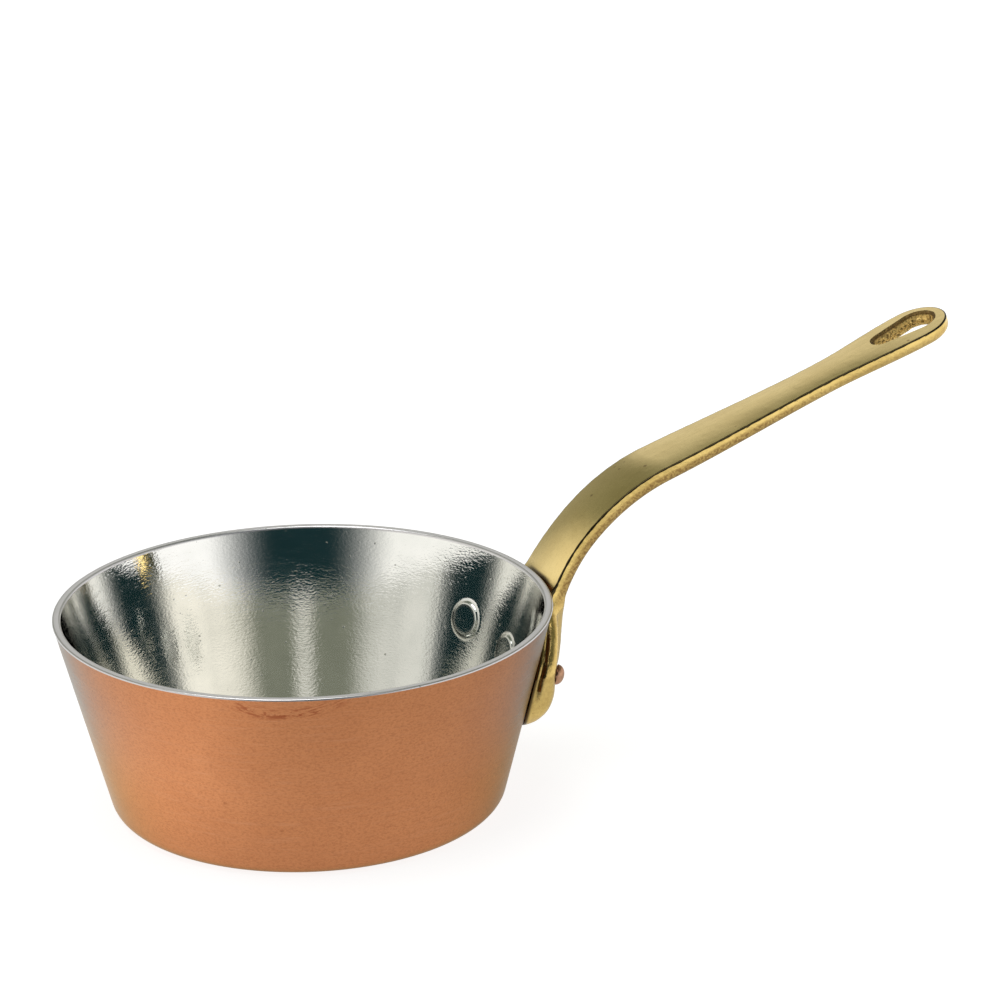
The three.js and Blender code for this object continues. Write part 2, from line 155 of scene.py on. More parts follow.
DROP_ALONG = (12.0, 42.0)
LOOP_DROP_ALONG = (TIP_AT - 32.0, TIP_AT - 14.0)
UNDERSIDE_RADIUS = 2.0
LOOP_RIM = 2.9
HOLE_LENGTH = 17.6
HOLE_WIDE_RADIUS = 4.6
HOLE_NARROW_RADIUS = 2.6
HOLE_AT = TIP_AT - LOOP_RIM - HOLE_WIDE_RADIUS
HOLE_SIDE_SHIFT = 0.8  # the hole isn't quite in the loop's middle
HOLE_EDGE_ROUND = 0.5
HOLE_DRAFT = 0.65  # how much it closes in towards the underside
HOLE_UNEVEN = 0.05
HOLE_WAVES = [(5.1, 2.7), (2.3, -4.1)]  # each wave's pace round the hole's wall and down it
PARTING_RIDGE = 0.4
PARTING_RIDGE_HALF = 0.35
PARTING_SHARE = 0.55  # of the loop's thickness, down to the ridge

# How finely the handle is meshed
INNER_STEPS = 8
CREASE_WIDTH = 0.25  # of the last strip of the top face, before its edge
EDGE_STEPS = 3
TOP_FACES = INNER_STEPS + EDGE_STEPS  # from the middle of a section to the end of its edge
SIDE_STEPS = 8
ROUND_STEPS = 6
OUTER_STEPS = 20
FOOT_INSET = 0.12  # of the first section, above the pad's foot
FOOT_RINGS = 14
PAD_RING_STEP = 0.7
LAST_PAD_DEPTH = 0.3
BEND_RINGS = 48
GRIP_RINGS = 70
TIP_STEPS = 28
HOLE_WIDE_STEPS = 30
HOLE_NARROW_STEPS = 18
HOLE_EDGE_POINTS = 5
CUTTER_PROUD = 1.0  # how far the hole's cutter stands out of the loop
BAR_SAMPLES = 500
POLISHED, CAST, HOLE_WALL = range(3)  # the handle's finishes, in their order on it

# Where the brass is dark, rough and dirty, and where shade is painted on it; pairs are where a change starts
# and ends
BAR_DEPTHS = (8.0, 4.0)  # below the rim, from the pad's marks to the bar's
CREASE_IN = 0.12  # how much further in than the top face's rounded edge its dark line reaches
CREASE_DOWN = 0.15  # and how much further down
ROUGH_SHARES = (0.22, 0.5)  # of the way down a side
SMOOTHER_ALONG = (60.0, 105.0)  # the sides get smoother towards the loop
SMOOTHER_BY = 0.5
UNDERSIDE_IN = 1.6  # in from the sides, where the underside is fully rough
UNDERSIDE_DOWN = 0.2
PAD_ROUGH = 0.25
SHADE_AND_GRIME_TOP = (1.5, 0.6)  # below the rim
SHADE_AND_GRIME_GAP = (0.6, 1.7)  # out from the wall
ROOT_SHADE_AND_GRIME_GAP = (1.6, 1.8)  # more than that, behind the neck
ROOT_ACROSS = (10.5, 13.0)
GROOVE_ACROSS = (14.0, 17.0)
# painted shade in the pad's cast groove
GROOVE_SHADE_WIDTH = 0.7
GROOVE_SHADE_HEIGHTS = (24.0, 29.0)
# painted shade round each rivet's outer head, where it meets the pad
RIVET_SHADE = 0.9
RIVET_SHADE_WIDTH = 0.6
RIVET_SHADE_DEPTH = 2.0

# Colours, as linear red, green and blue
COPPER_DARK = (0.555, 0.225, 0.096)
COPPER_LIGHT = (0.595, 0.247, 0.107)
COPPER_GRAIN = (0.34, 0.125, 0.055)
COPPER_LINES = (0.64, 0.30, 0.155)
COPPER_SPECKS = (0.25, 0.08, 0.03)
COPPER_RUBS = (0.30, 0.075, 0.03)
COPPER_GLANCING_HIGH = (0.54, 0.8, 0.9)  # tints what the wall mirrors at a glancing angle, near the rim
COPPER_GLANCING_LOW = (0.6, 0.68, 0.58)  # and near the base
TIN_DULL = (0.80, 0.795, 0.755)
TIN_BRIGHT = (0.865, 0.855, 0.815)
TIN_RIM = (0.60, 0.585, 0.59)
TIN_BOSS_EDGE = (0.40, 0.42, 0.38)
TIN_PITS = (0.16, 0.17, 0.15)
POLISHED_DARK = (0.72, 0.545, 0.225)
POLISHED_LIGHT = (0.79, 0.61, 0.265)
POLISHED_SPECKS = (0.22, 0.12, 0.04)
POLISHED_GRAIN = (0.42, 0.30, 0.11)
CAST_DARK = (0.68, 0.485, 0.16)
CAST_LIGHT = (0.79, 0.58, 0.205)
CAST_BROWN = (0.22, 0.11, 0.035)
HOLE_DARK = (0.58, 0.38, 0.12)
HOLE_LIGHT = (0.95, 0.7, 0.26)
# dark colour in the hole wall's hollows, and painted shade under its top edge
HOLE_HOLLOWS_AND_SHADE = (0.07, 0.035, 0.012)
# painted shade and dirt, where the casting meets the wall, in the pad's grooves and round the rivets
SHADE_AND_GRIME_COLOUR = (0.035, 0.02, 0.01)
CREASE_COLOUR = (0.05, 0.038, 0.018)
RIVET_DARK = (0.40, 0.20, 0.115)
RIVET_LIGHT = (0.54, 0.32, 0.205)
RIVET_PITS = (0.2, 0.08, 0.04)

# Where finishes change, in metres
RUBS_MIDDLE = (-0.005, -0.0606, 0.0469)  # in the photograph's axes
RUBS_SAG = 17.0  # how strongly the rubs curve
RUBS_ACROSS = (0.019, 0.007)  # they fade out to the sides, up and down, and round the pan
RUBS_UP_DOWN = (0.0024, 0.0006)
RUBS_OUTWARDS = (-0.03, -0.02)
GLANCING_HEIGHTS = (0.042, 0.012)
TIN_RIM_HEIGHTS = (0.0502, 0.0506)
HOLE_SHADE_DOWN = (0.0009, 0.0004)  # from the top face, to the painted shadow line under the hole's top edge

# The camera, in the photograph's axes: the part is turned 20 degrees from them
PHOTO_TURN = math.radians(-20)
CAMERA_PLACE = (0.0, -0.92729, 0.39765)
CAMERA_YAW = 0.0530283
CAMERA_PITCH = 0.3324613
CAMERA_ROLL = -0.0176443
CAMERA_LENS = 144.0
CAMERA_REACH = 20.0

# The floor and the lamp, in metres; the fades are distances from the pan's middle
FLOOR_REACH = 6.0
FLOOR_DROP = 0.00005
FLOOR_PAPER = (0.3, 0.3, 0.3, 1)
FLOOR_GLOW = 0.86  # the floor's own white at the pan, as the camera sees it
FLOOR_FADE = (0.1, 0.45)  # where that rises to full white
MIRROR_GLOW = (0.93, 0.54)  # what the metals see instead, on the left and on the right: painted light on the left and painted shade on the right
MIRROR_FADE = (-0.075, 0.0)  # across the pan, from the one to the other
NEAR_FADE = (0.12, 0.05)
NEAR_GAIN = 1.32  # what they see is brighter by, close to the pan: painted light in place of the floor's contact shadow
FAR_FADE = (0.22, 0.34)
FAR_GLOW = 1.05  # what they see of it at least, far from the pan
LAMP_PLACE = (-0.22, -0.12, 1.3)
LAMP_SIZE = 0.9
LAMP_BRIGHTNESS = 3.6  # 1 looks white in a mirror
LAMP_AIM = (0.03, 0.0, 0.04)

# The room that the metals mirror; heights and turns are parts of a direction of length 1
WALL_HEIGHTS = (0.1, 0.75)
WALL_LOW = (0.40, 0.41, 0.36)
WALL_HIGH = (0.22, 0.24, 0.19)
FRONT_DARK = (0.01, 0.03, 0.034)
FRONT_PALE = (0.45, 0.45, 0.43)  # just above the floor
FRONT_HEIGHTS = (0.07, 0.0)
FRONT_TO_BACK = (-0.5, 0.4)
SIDES_WIDER = 0.12
SIDES_NARROWING = -0.2  # with height
SIDES_FADE = (0.58, 0.92)
SIDES_FORWARD = (0.1, -0.3)  # from beside the pan to in front, where they reach all the way across
SIDES_TOP = (0.74, 0.6)
DARK_GAP = (-0.98, -0.67)  # from the dark middle of the front to the sides
SIDES_HEIGHTS = (0.2, 0.55)
LEFT_LOW = (1.08, 1.08, 1.05)
LEFT_HIGH = (1.26, 1.23, 1.15)
RIGHT_LOW = (1.17, 1.17, 1.17)
RIGHT_HIGH = (0.9, 0.91, 0.89)
LEFT_TO_RIGHT = (-0.4, 0.4)
SPOT_HEIGHT = math.radians(26.5)  # of the bright middle of the wall behind
SPOT_FADE = (math.cos(math.radians(16)), math.cos(math.radians(7)))
SPOT_SHARE = 0.9
SPOT_COLOUR = (1, 1, 0.97)


# Nodes

def add_node(tree, kind, inputs=None, **settings):
    """A new node with its settings, and its inputs linked or set by name or number."""
    node = tree.nodes.new(kind)
    for name, value in settings.items():
        setattr(node, name, value)
    for key, value in (inputs or {}).items():
        fill_socket(tree, node.inputs[key], value)
    return node


def fill_socket(tree, socket, value):
    """Links a socket to another one, or sets its number."""
    if isinstance(value, bpy.types.NodeSocket):
        tree.links.new(value, socket)
    else:
        socket.default_value = value


def math_node(tree, operation, *values):
    """The result of a Math node on sockets or numbers."""
    return add_node(tree, "ShaderNodeMath", dict(enumerate(values)), operation=operation).outputs[0]


def times(tree, first, second):
    return math_node(tree, "MULTIPLY", first, second)


def larger(tree, first, second):
    return math_node(tree, "MAXIMUM", first, second)


def remainder(tree, share):
    """What a share leaves of 1."""
    return math_node(tree, "SUBTRACT", 1.0, share)


def vector_math(tree, operation, *vectors):
    """The result of a Vector Math node: a number for lengths and dot products, or else a vector."""
    node = add_node(tree, "ShaderNodeVectorMath", dict(enumerate(vectors)), operation=operation)
    return node.outputs["Value" if operation in ("LENGTH", "DOT_PRODUCT") else "Vector"]


def stretched(tree, vector, scale):
    """Coordinates scaled by a different amount on each axis."""
    return vector_math(tree, "MULTIPLY", vector, scale)


def towards(tree, direction, aim):
    """How far a place or a direction reaches along an aim of length 1."""
    return vector_math(tree, "DOT_PRODUCT", direction, aim)


def height_of(tree, vector):
    """The height of a place, or of where a direction points."""
    return add_node(tree, "ShaderNodeSeparateXYZ", {0: vector}).outputs["Z"]


def map_range(tree, value, span, to=(0.0, 1.0)):
    """A value carried smoothly from one range to another, and held at its ends."""
    inputs = {"Value": value, "From Min": span[0], "From Max": span[1]}
    inputs |= {"To Min": to[0], "To Max": to[1]}
    return add_node(tree, "ShaderNodeMapRange", inputs, interpolation_type="SMOOTHSTEP").outputs[0]


def mix_colour(tree, factor, first, second):
    """Two colours mixed, each given as a socket or as red, green and blue."""
    inputs = {0: factor}
    for key, colour in ((6, first), (7, second)):  # the Mix node's two sockets for colours
        inputs[key] = (*colour, 1) if isinstance(colour, tuple) else colour
    return add_node(tree, "ShaderNodeMix", inputs, data_type="RGBA").outputs[2]


def noise(tree, vector, scale, detail=3.0, roughness=0.55):
    inputs = {"Vector": vector, "Scale": scale, "Detail": detail, "Roughness": roughness}
    return add_node(tree, "ShaderNodeTexNoise", inputs).outputs[0]


def shader_group(name, inputs, outputs):
    """An empty shader group with named sockets; inputs give each one's kind and default."""
    tree = bpy.data.node_groups.new(name, "ShaderNodeTree")
    for label, (kind, default) in inputs.items():
        socket = tree.interface.new_socket(label, in_out="INPUT", socket_type=kind)
        if default is not None:
            socket.default_value = default
    for label in outputs:
        tree.interface.new_socket(label, in_out="OUTPUT", socket_type="NodeSocketFloat")
    entry = tree.nodes.new("NodeGroupInput")
    leave = tree.nodes.new("NodeGroupOutput")
    return tree, entry.outputs, leave.inputs


def use_group(tree, group, **inputs):
    """A shader group placed in a material, with its inputs given by name."""
    node = tree.nodes.new("ShaderNodeGroup")
    node.node_tree = group
    for label, value in inputs.items():
        fill_socket(tree, node.inputs[label.title()], value)
    return node.outputs


# Effects that several finishes share

def polish_lines_group():
    """Fine lines left by polishing or wiping, along the axes that the coordinates are least scaled on."""
    inputs = {
        "Vector": ("NodeSocketVector", None),
        "Waviness": ("NodeSocketFloat", 0.0),
        "Detail": ("NodeSocketFloat", 4.0),
    }
    tree, entry, leave = shader_group("polish_lines", inputs, ["Lines", "Patches"])
    sway = noise(tree, entry["Vector"], scale=0.35, detail=2.0)
    lift = times(tree, math_node(tree, "SUBTRACT", sway, 0.5), entry["Waviness"])
    offset = add_node(tree, "ShaderNodeCombineXYZ", {2: lift}).outputs[0]
    swayed = vector_math(tree, "ADD", entry["Vector"], offset)
    fine = noise(tree, swayed, scale=2.3, detail=entry["Detail"], roughness=0.7)
    broad = noise(tree, swayed, scale=0.6, detail=2.0, roughness=0.5)
    fine_share, broad_share = 0.65, 0.35
    lines = math_node(tree, "MULTIPLY_ADD", fine, fine_share, times(tree, broad, broad_share))
    tree.links.new(lines, leave["Lines"])
    tree.links.new(map_range(tree, broad, (0.35, 0.65)), leave["Patches"])
    return tree


def pits_group():
    """Scattered round pits: how much each place is inside one."""
    inputs = {
        "Vector": ("NodeSocketVector", None),
        "Spacing": ("NodeSocketFloat", 0.002),
        "Share": ("NodeSocketFloat", 0.3),
    }
    tree, entry, leave = shader_group("pits", inputs, ["Pits"])
    largest, bottom = 0.34, 0.4  # a pit's radius in its cell, and its flat bottom's in the pit
    scale = math_node(tree, "DIVIDE", 1.0, entry["Spacing"])
    cells = add_node(tree, "ShaderNodeTexVoronoi", {"Vector": entry["Vector"], "Scale": scale})
    chance = add_node(tree, "ShaderNodeSeparateColor", {0: cells.outputs["Color"]})
    size = times(tree, chance.outputs[1], largest)
    inside = map_range(tree, cells.outputs["Distance"], (size, times(tree, size, bottom)))
    chosen = math_node(tree, "LESS_THAN", chance.outputs[0], entry["Share"])
    tree.links.new(times(tree, inside, chosen), leave["Pits"])
    return tree


def mottle_group():
    """Soft clouds of uneven colour or shine, and much finer grains."""
    inputs = {"Vector": ("NodeSocketVector", None), "Size": ("NodeSocketFloat", 0.02)}
    tree, entry, leave = shader_group("mottle", inputs, ["Clouds", "Grains"])
    finer = 17.0
    scale = math_node(tree, "DIVIDE", 1.0, entry["Size"])
    clouds = noise(tree, entry["Vector"], scale, roughness=0.6)
    grains = noise(tree, entry["Vector"], times(tree, scale, finer), roughness=0.7)
    tree.links.new(map_range(tree, clouds, (0.3, 0.7)), leave["Clouds"])
    tree.links.new(grains, leave["Grains"])
    return tree


POLISH_LINES = polish_lines_group()
PITS = pits_group()
MOTTLE = mottle_group()


# Finishes, with their lengths in metres

def new_finish(name):
    """A material with a bare metal shader, and the object's own coordinates."""
    material = bpy.data.materials.new(name)
    material.use_nodes = True
    tree = material.node_tree
    tree.nodes.clear()
    shader = add_node(tree, "ShaderNodeBsdfPrincipled", {"Metallic": 1.0})
    add_node(tree, "ShaderNodeOutputMaterial", {"Surface": shader.outputs[0]})
    place = add_node(tree, "ShaderNodeTexCoord").outputs["Object"]
    return material, tree, shader, place


def bump(tree, height, depth, under=None):
    """A bump of the given depth, over another one if there is one."""
    inputs = {"Strength": 1.0, "Distance": depth, "Height": height}
    if under is not None:
        inputs["Normal"] = under
    return add_node(tree, "ShaderNodeBump", inputs).outputs[0]


def finish_surface(tree, shader, colour, roughness, normal):
    """Links a finish's colour, roughness and bumps to its shader."""
    tree.links.new(colour, shader.inputs["Base Color"])
    tree.links.new(roughness, shader.inputs["Roughness"])
    tree.links.new(normal, shader.inputs["Normal"])


def copper_finish():
    """Satin copper, brushed round the wall, with a few darker rubs under the front of the rim."""
    material, tree, shader, place = new_finish("copper_satin")
    brushed = stretched(tree, place, scale=(60, 60, 1500))
    lines = use_group(tree, POLISH_LINES, vector=brushed, waviness=1.5)["Lines"]
    clouds = use_group(tree, MOTTLE, vector=place, size=0.018)["Clouds"]
    flattened = stretched(tree, place, scale=(0.6, 0.6, 1.0))
    grain = use_group(tree, MOTTLE, vector=flattened, size=0.0075)["Grains"]
    specks = use_group(tree, PITS, vector=place, spacing=0.002, share=0.05)["Pits"]
    colour = mix_colour(tree, clouds, COPPER_DARK, COPPER_LIGHT)
    colour = mix_colour(tree, map_range(tree, grain, (0.4, 0.7), to=(0.0, 0.5)), colour, COPPER_GRAIN)
    colour = mix_colour(tree, map_range(tree, lines, (0.5, 0.68), to=(0.0, 0.35)), colour, COPPER_LINES)
    colour = mix_colour(tree, times(tree, specks, 0.35), colour, COPPER_SPECKS)
    colour = mix_colour(tree, rim_rubs(tree, place), colour, COPPER_RUBS)
    low = map_range(tree, height_of(tree, place), GLANCING_HEIGHTS)
    glancing = mix_colour(tree, low, COPPER_GLANCING_HIGH, COPPER_GLANCING_LOW)
    tree.links.new(glancing, shader.inputs["Specular Tint"])
    roughness = map_range(tree, lines, (0.3, 0.7), to=(0.26, 0.36))
    normal = bump(tree, lines, depth=0.00001)
    normal = bump(tree, grain, depth=0.00002, under=normal)
    finish_surface(tree, shader, colour, roughness, normal)
    return material


def rim_rubs(tree, place):
    """Thin marks that sag in a curve below the rim, where something has rubbed the copper."""
    away = vector_math(tree, "SUBTRACT", place, studio_place(*RUBS_MIDDLE))
    across = towards(tree, away, studio_place(1, 0, 0))
    outwards = towards(tree, away, studio_place(0, -1, 0))
    rise = times(tree, times(tree, across, across), RUBS_SAG)
    level = math_node(tree, "SUBTRACT", height_of(tree, away), rise)
    patch = map_range(tree, math_node(tree, "ABSOLUTE", across), RUBS_ACROSS)
    patch = times(tree, patch, map_range(tree, math_node(tree, "ABSOLUTE", level), RUBS_UP_DOWN))
    patch = times(tree, patch, map_range(tree, outwards, RUBS_OUTWARDS))
    curved = add_node(tree, "ShaderNodeCombineXYZ", {0: across, 2: level}).outputs[0]
    rubbed = stretched(tree, curved, scale=(110, 0, 1000))
    marks = use_group(tree, POLISH_LINES, vector=rubbed, waviness=3.0)["Lines"]
    return times(tree, times(tree, patch, map_range(tree, marks, (0.49, 0.57))), 0.8)


def tin_finish():
    """Hand-wiped tin: bright, with fine wiping strokes and grain, and duller on the worn rim."""
    material, tree, shader, place = new_finish("tin_wiped")
    wiped = stretched(tree, place, scale=(190, 190, 1300))
    strokes = use_group(tree, POLISH_LINES, vector=wiped, waviness=5.0, detail=1.5)
    clouds = use_group(tree, MOTTLE, vector=place, size=0.011)["Clouds"]
    speckle = noise(tree, stretched(tree, place, scale=(0.6, 0.6, 1.0)), scale=2100.0, detail=1.0)
    pits = use_group(tree, PITS, vector=place, spacing=0.0012, share=0.06)["Pits"]
    rim = map_range(tree, height_of(tree, place), TIN_RIM_HEIGHTS)
    boss = mark(tree, "boss")
    colour = mix_colour(tree, clouds, TIN_DULL, TIN_BRIGHT)
    colour = mix_colour(tree, rim, colour, TIN_RIM)
    colour = mix_colour(tree, times(tree, boss, 0.7), colour, TIN_BOSS_EDGE)
    colour = mix_colour(tree, times(tree, pits, 0.5), colour, TIN_PITS)
    roughness = map_range(tree, strokes["Patches"], (0.0, 1.0), to=(0.06, 0.085))
    for worn, rougher in ((rim, 0.25), (boss, 0.12)):
        roughness = math_node(tree, "MULTIPLY_ADD", worn, rougher, roughness)
    normal = bump(tree, strokes["Lines"], depth=0.000014)
    normal = bump(tree, speckle, depth=0.000018, under=normal)
    normal = bump(tree, remainder(tree, pits), depth=0.00002, under=normal)
    finish_surface(tree, shader, colour, roughness, normal)
    return material


def bar_place(tree):
    """Coordinates that follow the handle: along it, across it and down from its top face."""
    return add_node(tree, "ShaderNodeAttribute", attribute_name="bar").outputs["Vector"]


def mark(tree, name):
    """A number stored on the piece's points."""
    return add_node(tree, "ShaderNodeAttribute", attribute_name=name).outputs["Fac"]


def with_shade_and_grime(tree, colour):
    """Dark lines along the top face's edges, and dark brown painted shade and dirt in the joints."""
    shade_and_dirt = map_range(tree, mark(tree, "grime"), (0.0, 1.0), to=(0.0, 0.92))
    colour = mix_colour(tree, shade_and_dirt, colour, SHADE_AND_GRIME_COLOUR)
    return mix_colour(tree, map_range(tree, mark(tree, "crease"), (0.3, 0.85)), colour, CREASE_COLOUR)


def polished_brass_finish():
    """The handle's top face: polished along its length, with a few pits and a dark line at its edges."""
    material, tree, shader, place = new_finish("brass_polished")
    bar = bar_place(tree)
    lengthwise = stretched(tree, bar, scale=(60, 1800, 0))
    lines = use_group(tree, POLISH_LINES, vector=lengthwise, waviness=0.0)["Lines"]
    mottle = use_group(tree, MOTTLE, vector=bar, size=0.014)
    specks = use_group(tree, PITS, vector=place, spacing=0.0022, share=0.07)["Pits"]
    colour = mix_colour(tree, mottle["Clouds"], POLISHED_DARK, POLISHED_LIGHT)
    colour = mix_colour(tree, times(tree, specks, 0.6), colour, POLISHED_SPECKS)
    grain = map_range(tree, mottle["Grains"], (0.45, 0.8), to=(0.0, 0.2))
    colour = mix_colour(tree, grain, colour, POLISHED_GRAIN)
    roughness = map_range(tree, lines, (0.3, 0.7), to=(0.16, 0.26))
    normal = bump(tree, lines, depth=0.000006)
    normal = bump(tree, mottle["Clouds"], depth=0.00003, under=normal)
    finish_surface(tree, shader, with_shade_and_grime(tree, colour), roughness, normal)
    return material


def cast_brass_finish():
    """The handle's sides, underside and pad: as cast, grainy, with brown left in the hollows."""
    material, tree, shader, place = new_finish("brass_cast")
    clouds = use_group(tree, MOTTLE, vector=place, size=0.006)["Clouds"]
    fine = use_group(tree, MOTTLE, vector=place, size=0.0007)["Clouds"]
    pits = use_group(tree, PITS, vector=place, spacing=0.0009, share=0.25)["Pits"]
    rough = mark(tree, "rough")
    brown = times(tree, map_range(tree, fine, (0.1, 0.9), to=(0.4, 1.0)), rough)
    brown = larger(tree, brown, times(tree, pits, 0.6))
    colour = mix_colour(tree, clouds, CAST_DARK, CAST_LIGHT)
    colour = mix_colour(tree, times(tree, brown, 0.8), colour, CAST_BROWN)
    roughness = map_range(tree, rough, (0.0, 1.0), to=(0.24, 0.42))
    grain = times(tree, fine, map_range(tree, rough, (0.0, 1.0), to=(0.15, 1.0)))
    normal = bump(tree, grain, depth=0.00008)
    normal = bump(tree, remainder(tree, pits), depth=0.00004, under=normal)
    normal = bump(tree, clouds, depth=0.00012, under=normal)
    finish_surface(tree, shader, with_shade_and_grime(tree, colour), roughness, normal)
    return material


def hole_brass_finish():
    """The wall of the hanging hole: never cleaned up, lumpy, with black and brown in its hollows, and a
    painted shadow line under its top edge.
    """
    material, tree, shader, place = new_finish("brass_hole_wall")
    lumps = use_group(tree, MOTTLE, vector=place, size=0.0008)
    pits = use_group(tree, PITS, vector=place, spacing=0.0007, share=0.4)["Pits"]
    colour = mix_colour(tree, lumps["Grains"], HOLE_DARK, HOLE_LIGHT)
    dark = map_range(tree, lumps["Clouds"], (0.2, 0.55), to=(0.7, 0.0))
    dark = larger(tree, dark, times(tree, pits, 0.5))
    down = height_of(tree, bar_place(tree))
    # painted shadow line under the hole's top edge
    dark = larger(tree, dark, map_range(tree, down, HOLE_SHADE_DOWN, to=(0.0, 0.85)))
    colour = mix_colour(tree, dark, colour, HOLE_HOLLOWS_AND_SHADE)
    roughness = map_range(tree, lumps["Grains"], (0.3, 0.7), to=(0.3, 0.5))
    normal = bump(tree, lumps["Clouds"], depth=0.0002)
    normal = bump(tree, remainder(tree, pits), depth=0.00006, under=normal)
    finish_surface(tree, shader, colour, roughness, normal)
    return material


def rivet_finish():
    """Copper rivets, hammered and slightly dulled."""
    material, tree, shader, place = new_finish("copper_rivet")
    mottle = use_group(tree, MOTTLE, vector=place, size=0.003)
    pits = use_group(tree, PITS, vector=place, spacing=0.0012, share=0.2)["Pits"]
    colour = mix_colour(tree, mottle["Clouds"], RIVET_DARK, RIVET_LIGHT)
    colour = mix_colour(tree, times(tree, pits, 0.6), colour, RIVET_PITS)
    roughness = map_range(tree, mottle["Grains"], (0.3, 0.7), to=(0.25, 0.38))
    normal = bump(tree, mottle["Clouds"], depth=0.0001)
    finish_surface(tree, shader, colour, roughness, normal)
    return material


# Meshes

def new_piece(name, mesh):
    piece = bpy.data.objects.new(name, mesh)
    bpy.context.scene.collection.objects.link(piece)
    return piece


def make_mesh(name, points, edges, faces):
    """A mesh from points in millimetres."""
    mesh = bpy.data.meshes.new(name)
    mesh.from_pydata([tuple(MM * c for c in p) for p in points], edges, faces)
    mesh.update()
    return mesh


def ring_faces(rings, size):
    """The faces that join each closed ring of points to the next."""
    faces = []
    for here in range(0, (rings - 1) * size, size):
        there = here + size
        for i in range(size):
            j = (i + 1) % size
            faces.append((here + i, here + j, there + j, there + i))
    return faces


def face_outwards(mesh):
    """Merges doubled points, closes poles and turns every face outwards."""
    shape = bmesh.new()
    shape.from_mesh(mesh)
    bmesh.ops.remove_doubles(shape, verts=shape.verts, dist=1e-7)
    bmesh.ops.recalc_face_normals(shape, faces=shape.faces)
    shape.to_mesh(mesh)
    shape.free()


def smooth_within(mesh, degrees):
    """Smooth shading, with sharp edges where faces meet at more than an angle."""
    mesh.polygons.foreach_set("use_smooth", [True] * len(mesh.polygons))
    mesh.set_sharp_from_angle(angle=math.radians(degrees))


def mesh_points(mesh):
    """Every point of a mesh, in millimetres."""
    points = np.zeros(len(mesh.vertices) * 3)
    mesh.vertices.foreach_get("co", points)
    return points.reshape(-1, 3) / MM


def store_mark(mesh, name, values):
    """A number for every point of a mesh, which its finish can read."""
    attribute = mesh.attributes.new(name, "FLOAT", "POINT")
    attribute.data.foreach_set("value", np.asarray(values, dtype=float))


def ease(value, low, high):
    """A smooth rise from 0 to 1 between two values."""
    share = np.clip((value - low) / (high - low), 0.0, 1.0)
    return share * share * (3 - 2 * share)


def made_plain(piece):
    """Turns what the piece's modifiers make into its plain mesh, and removes them."""
    depsgraph = bpy.context.evaluated_depsgraph_get()
    mesh = bpy.data.meshes.new_from_object(piece.evaluated_get(depsgraph))
    piece.modifiers.clear()
    piece.data = mesh
    mesh.name = piece.name


# Geometry Nodes

def geometry_tree(name, inputs):
    """An empty tree with a geometry in and out, and further named inputs."""
    tree = bpy.data.node_groups.new(name, "GeometryNodeTree")
    tree.interface.new_socket("Geometry", in_out="INPUT", socket_type="NodeSocketGeometry")
    for label, kind in inputs.items():
        tree.interface.new_socket(label, in_out="INPUT", socket_type=kind)
    tree.interface.new_socket("Geometry", in_out="OUTPUT", socket_type="NodeSocketGeometry")
    entry = tree.nodes.new("NodeGroupInput")
    leave = tree.nodes.new("NodeGroupOutput")
    return tree, entry.outputs, leave.inputs


def end_tree(tree, shape, material, leave):
    """Makes instances real and sets the material, as the last steps of a tree."""
    real = add_node(tree, "GeometryNodeRealizeInstances", {"Geometry": shape}).outputs[0]
    finished = add_node(tree, "GeometryNodeSetMaterial", {"Geometry": real, "Material": material})
    tree.links.new(finished.outputs[0], leave["Geometry"])


def run_tree(piece, tree, values):
    """Runs a tree on a piece, with its inputs set by their identifiers, and keeps the result as a mesh."""
    modifier = piece.modifiers.new(tree.name, "NODES")
    modifier.node_group = tree
    identifiers = {i.name: i.identifier for i in tree.interface.items_tree if i.in_out == "INPUT"}
    for label, value in values.items():
        modifier[identifiers[label]] = value
    made_plain(piece)


def turned_tree():
    """Turns a line of points in the XZ plane about the Z axis."""
    inputs = {"Segments": "NodeSocketInt", "Finish": "NodeSocketMaterial"}
    tree, entry, leave = geometry_tree("turned_profile", inputs)
    line = {"Geometry": entry["Geometry"]}
    count = add_node(tree, "GeometryNodeAttributeDomainSize", line).outputs["Point Count"]
    columns = math_node(tree, "ADD", entry["Segments"], 1)
    grid = add_node(tree, "GeometryNodeMeshGrid", {"Vertices X": columns, "Vertices Y": count})
    index = tree.nodes.new("GeometryNodeInputIndex").outputs[0]
    row = math_node(tree, "MODULO", index, count)
    column = math_node(tree, "FLOOR", math_node(tree, "DIVIDE", index, count))
    position = tree.nodes.new("GeometryNodeInputPosition").outputs[0]
    profile = add_node(tree, "GeometryNodeSampleIndex", line, data_type="FLOAT_VECTOR")
    tree.links.new(position, profile.inputs["Value"])
    tree.links.new(row, profile.inputs["Index"])
    point = add_node(tree, "ShaderNodeSeparateXYZ", {0: profile.outputs["Value"]}).outputs
    turn = times(tree, column, math_node(tree, "DIVIDE", 2 * math.pi, entry["Segments"]))
    x = times(tree, point["X"], math_node(tree, "COSINE", turn))
    y = times(tree, point["X"], math_node(tree, "SINE", turn))
    turned = add_node(tree, "ShaderNodeCombineXYZ", {0: x, 1: y, 2: point["Z"]}).outputs[0]
    shape = add_node(tree, "GeometryNodeSetPosition", {"Geometry": grid.outputs["Mesh"], "Position": turned})
    closed = add_node(tree, "GeometryNodeMergeByDistance", {"Geometry": shape.outputs[0], "Distance": 1e-6})
    end_tree(tree, closed.outputs[0], entry["Finish"], leave)
    return tree


def profile_piece(name, profile):
    """A piece that holds a line of [radius, height] points, ready to be turned."""
    points = [(radius, 0.0, height) for radius, height in profile]
    edges = [(i, i + 1) for i in range(len(points) - 1)]
    return new_piece(name, make_mesh(name, points, edges, []))


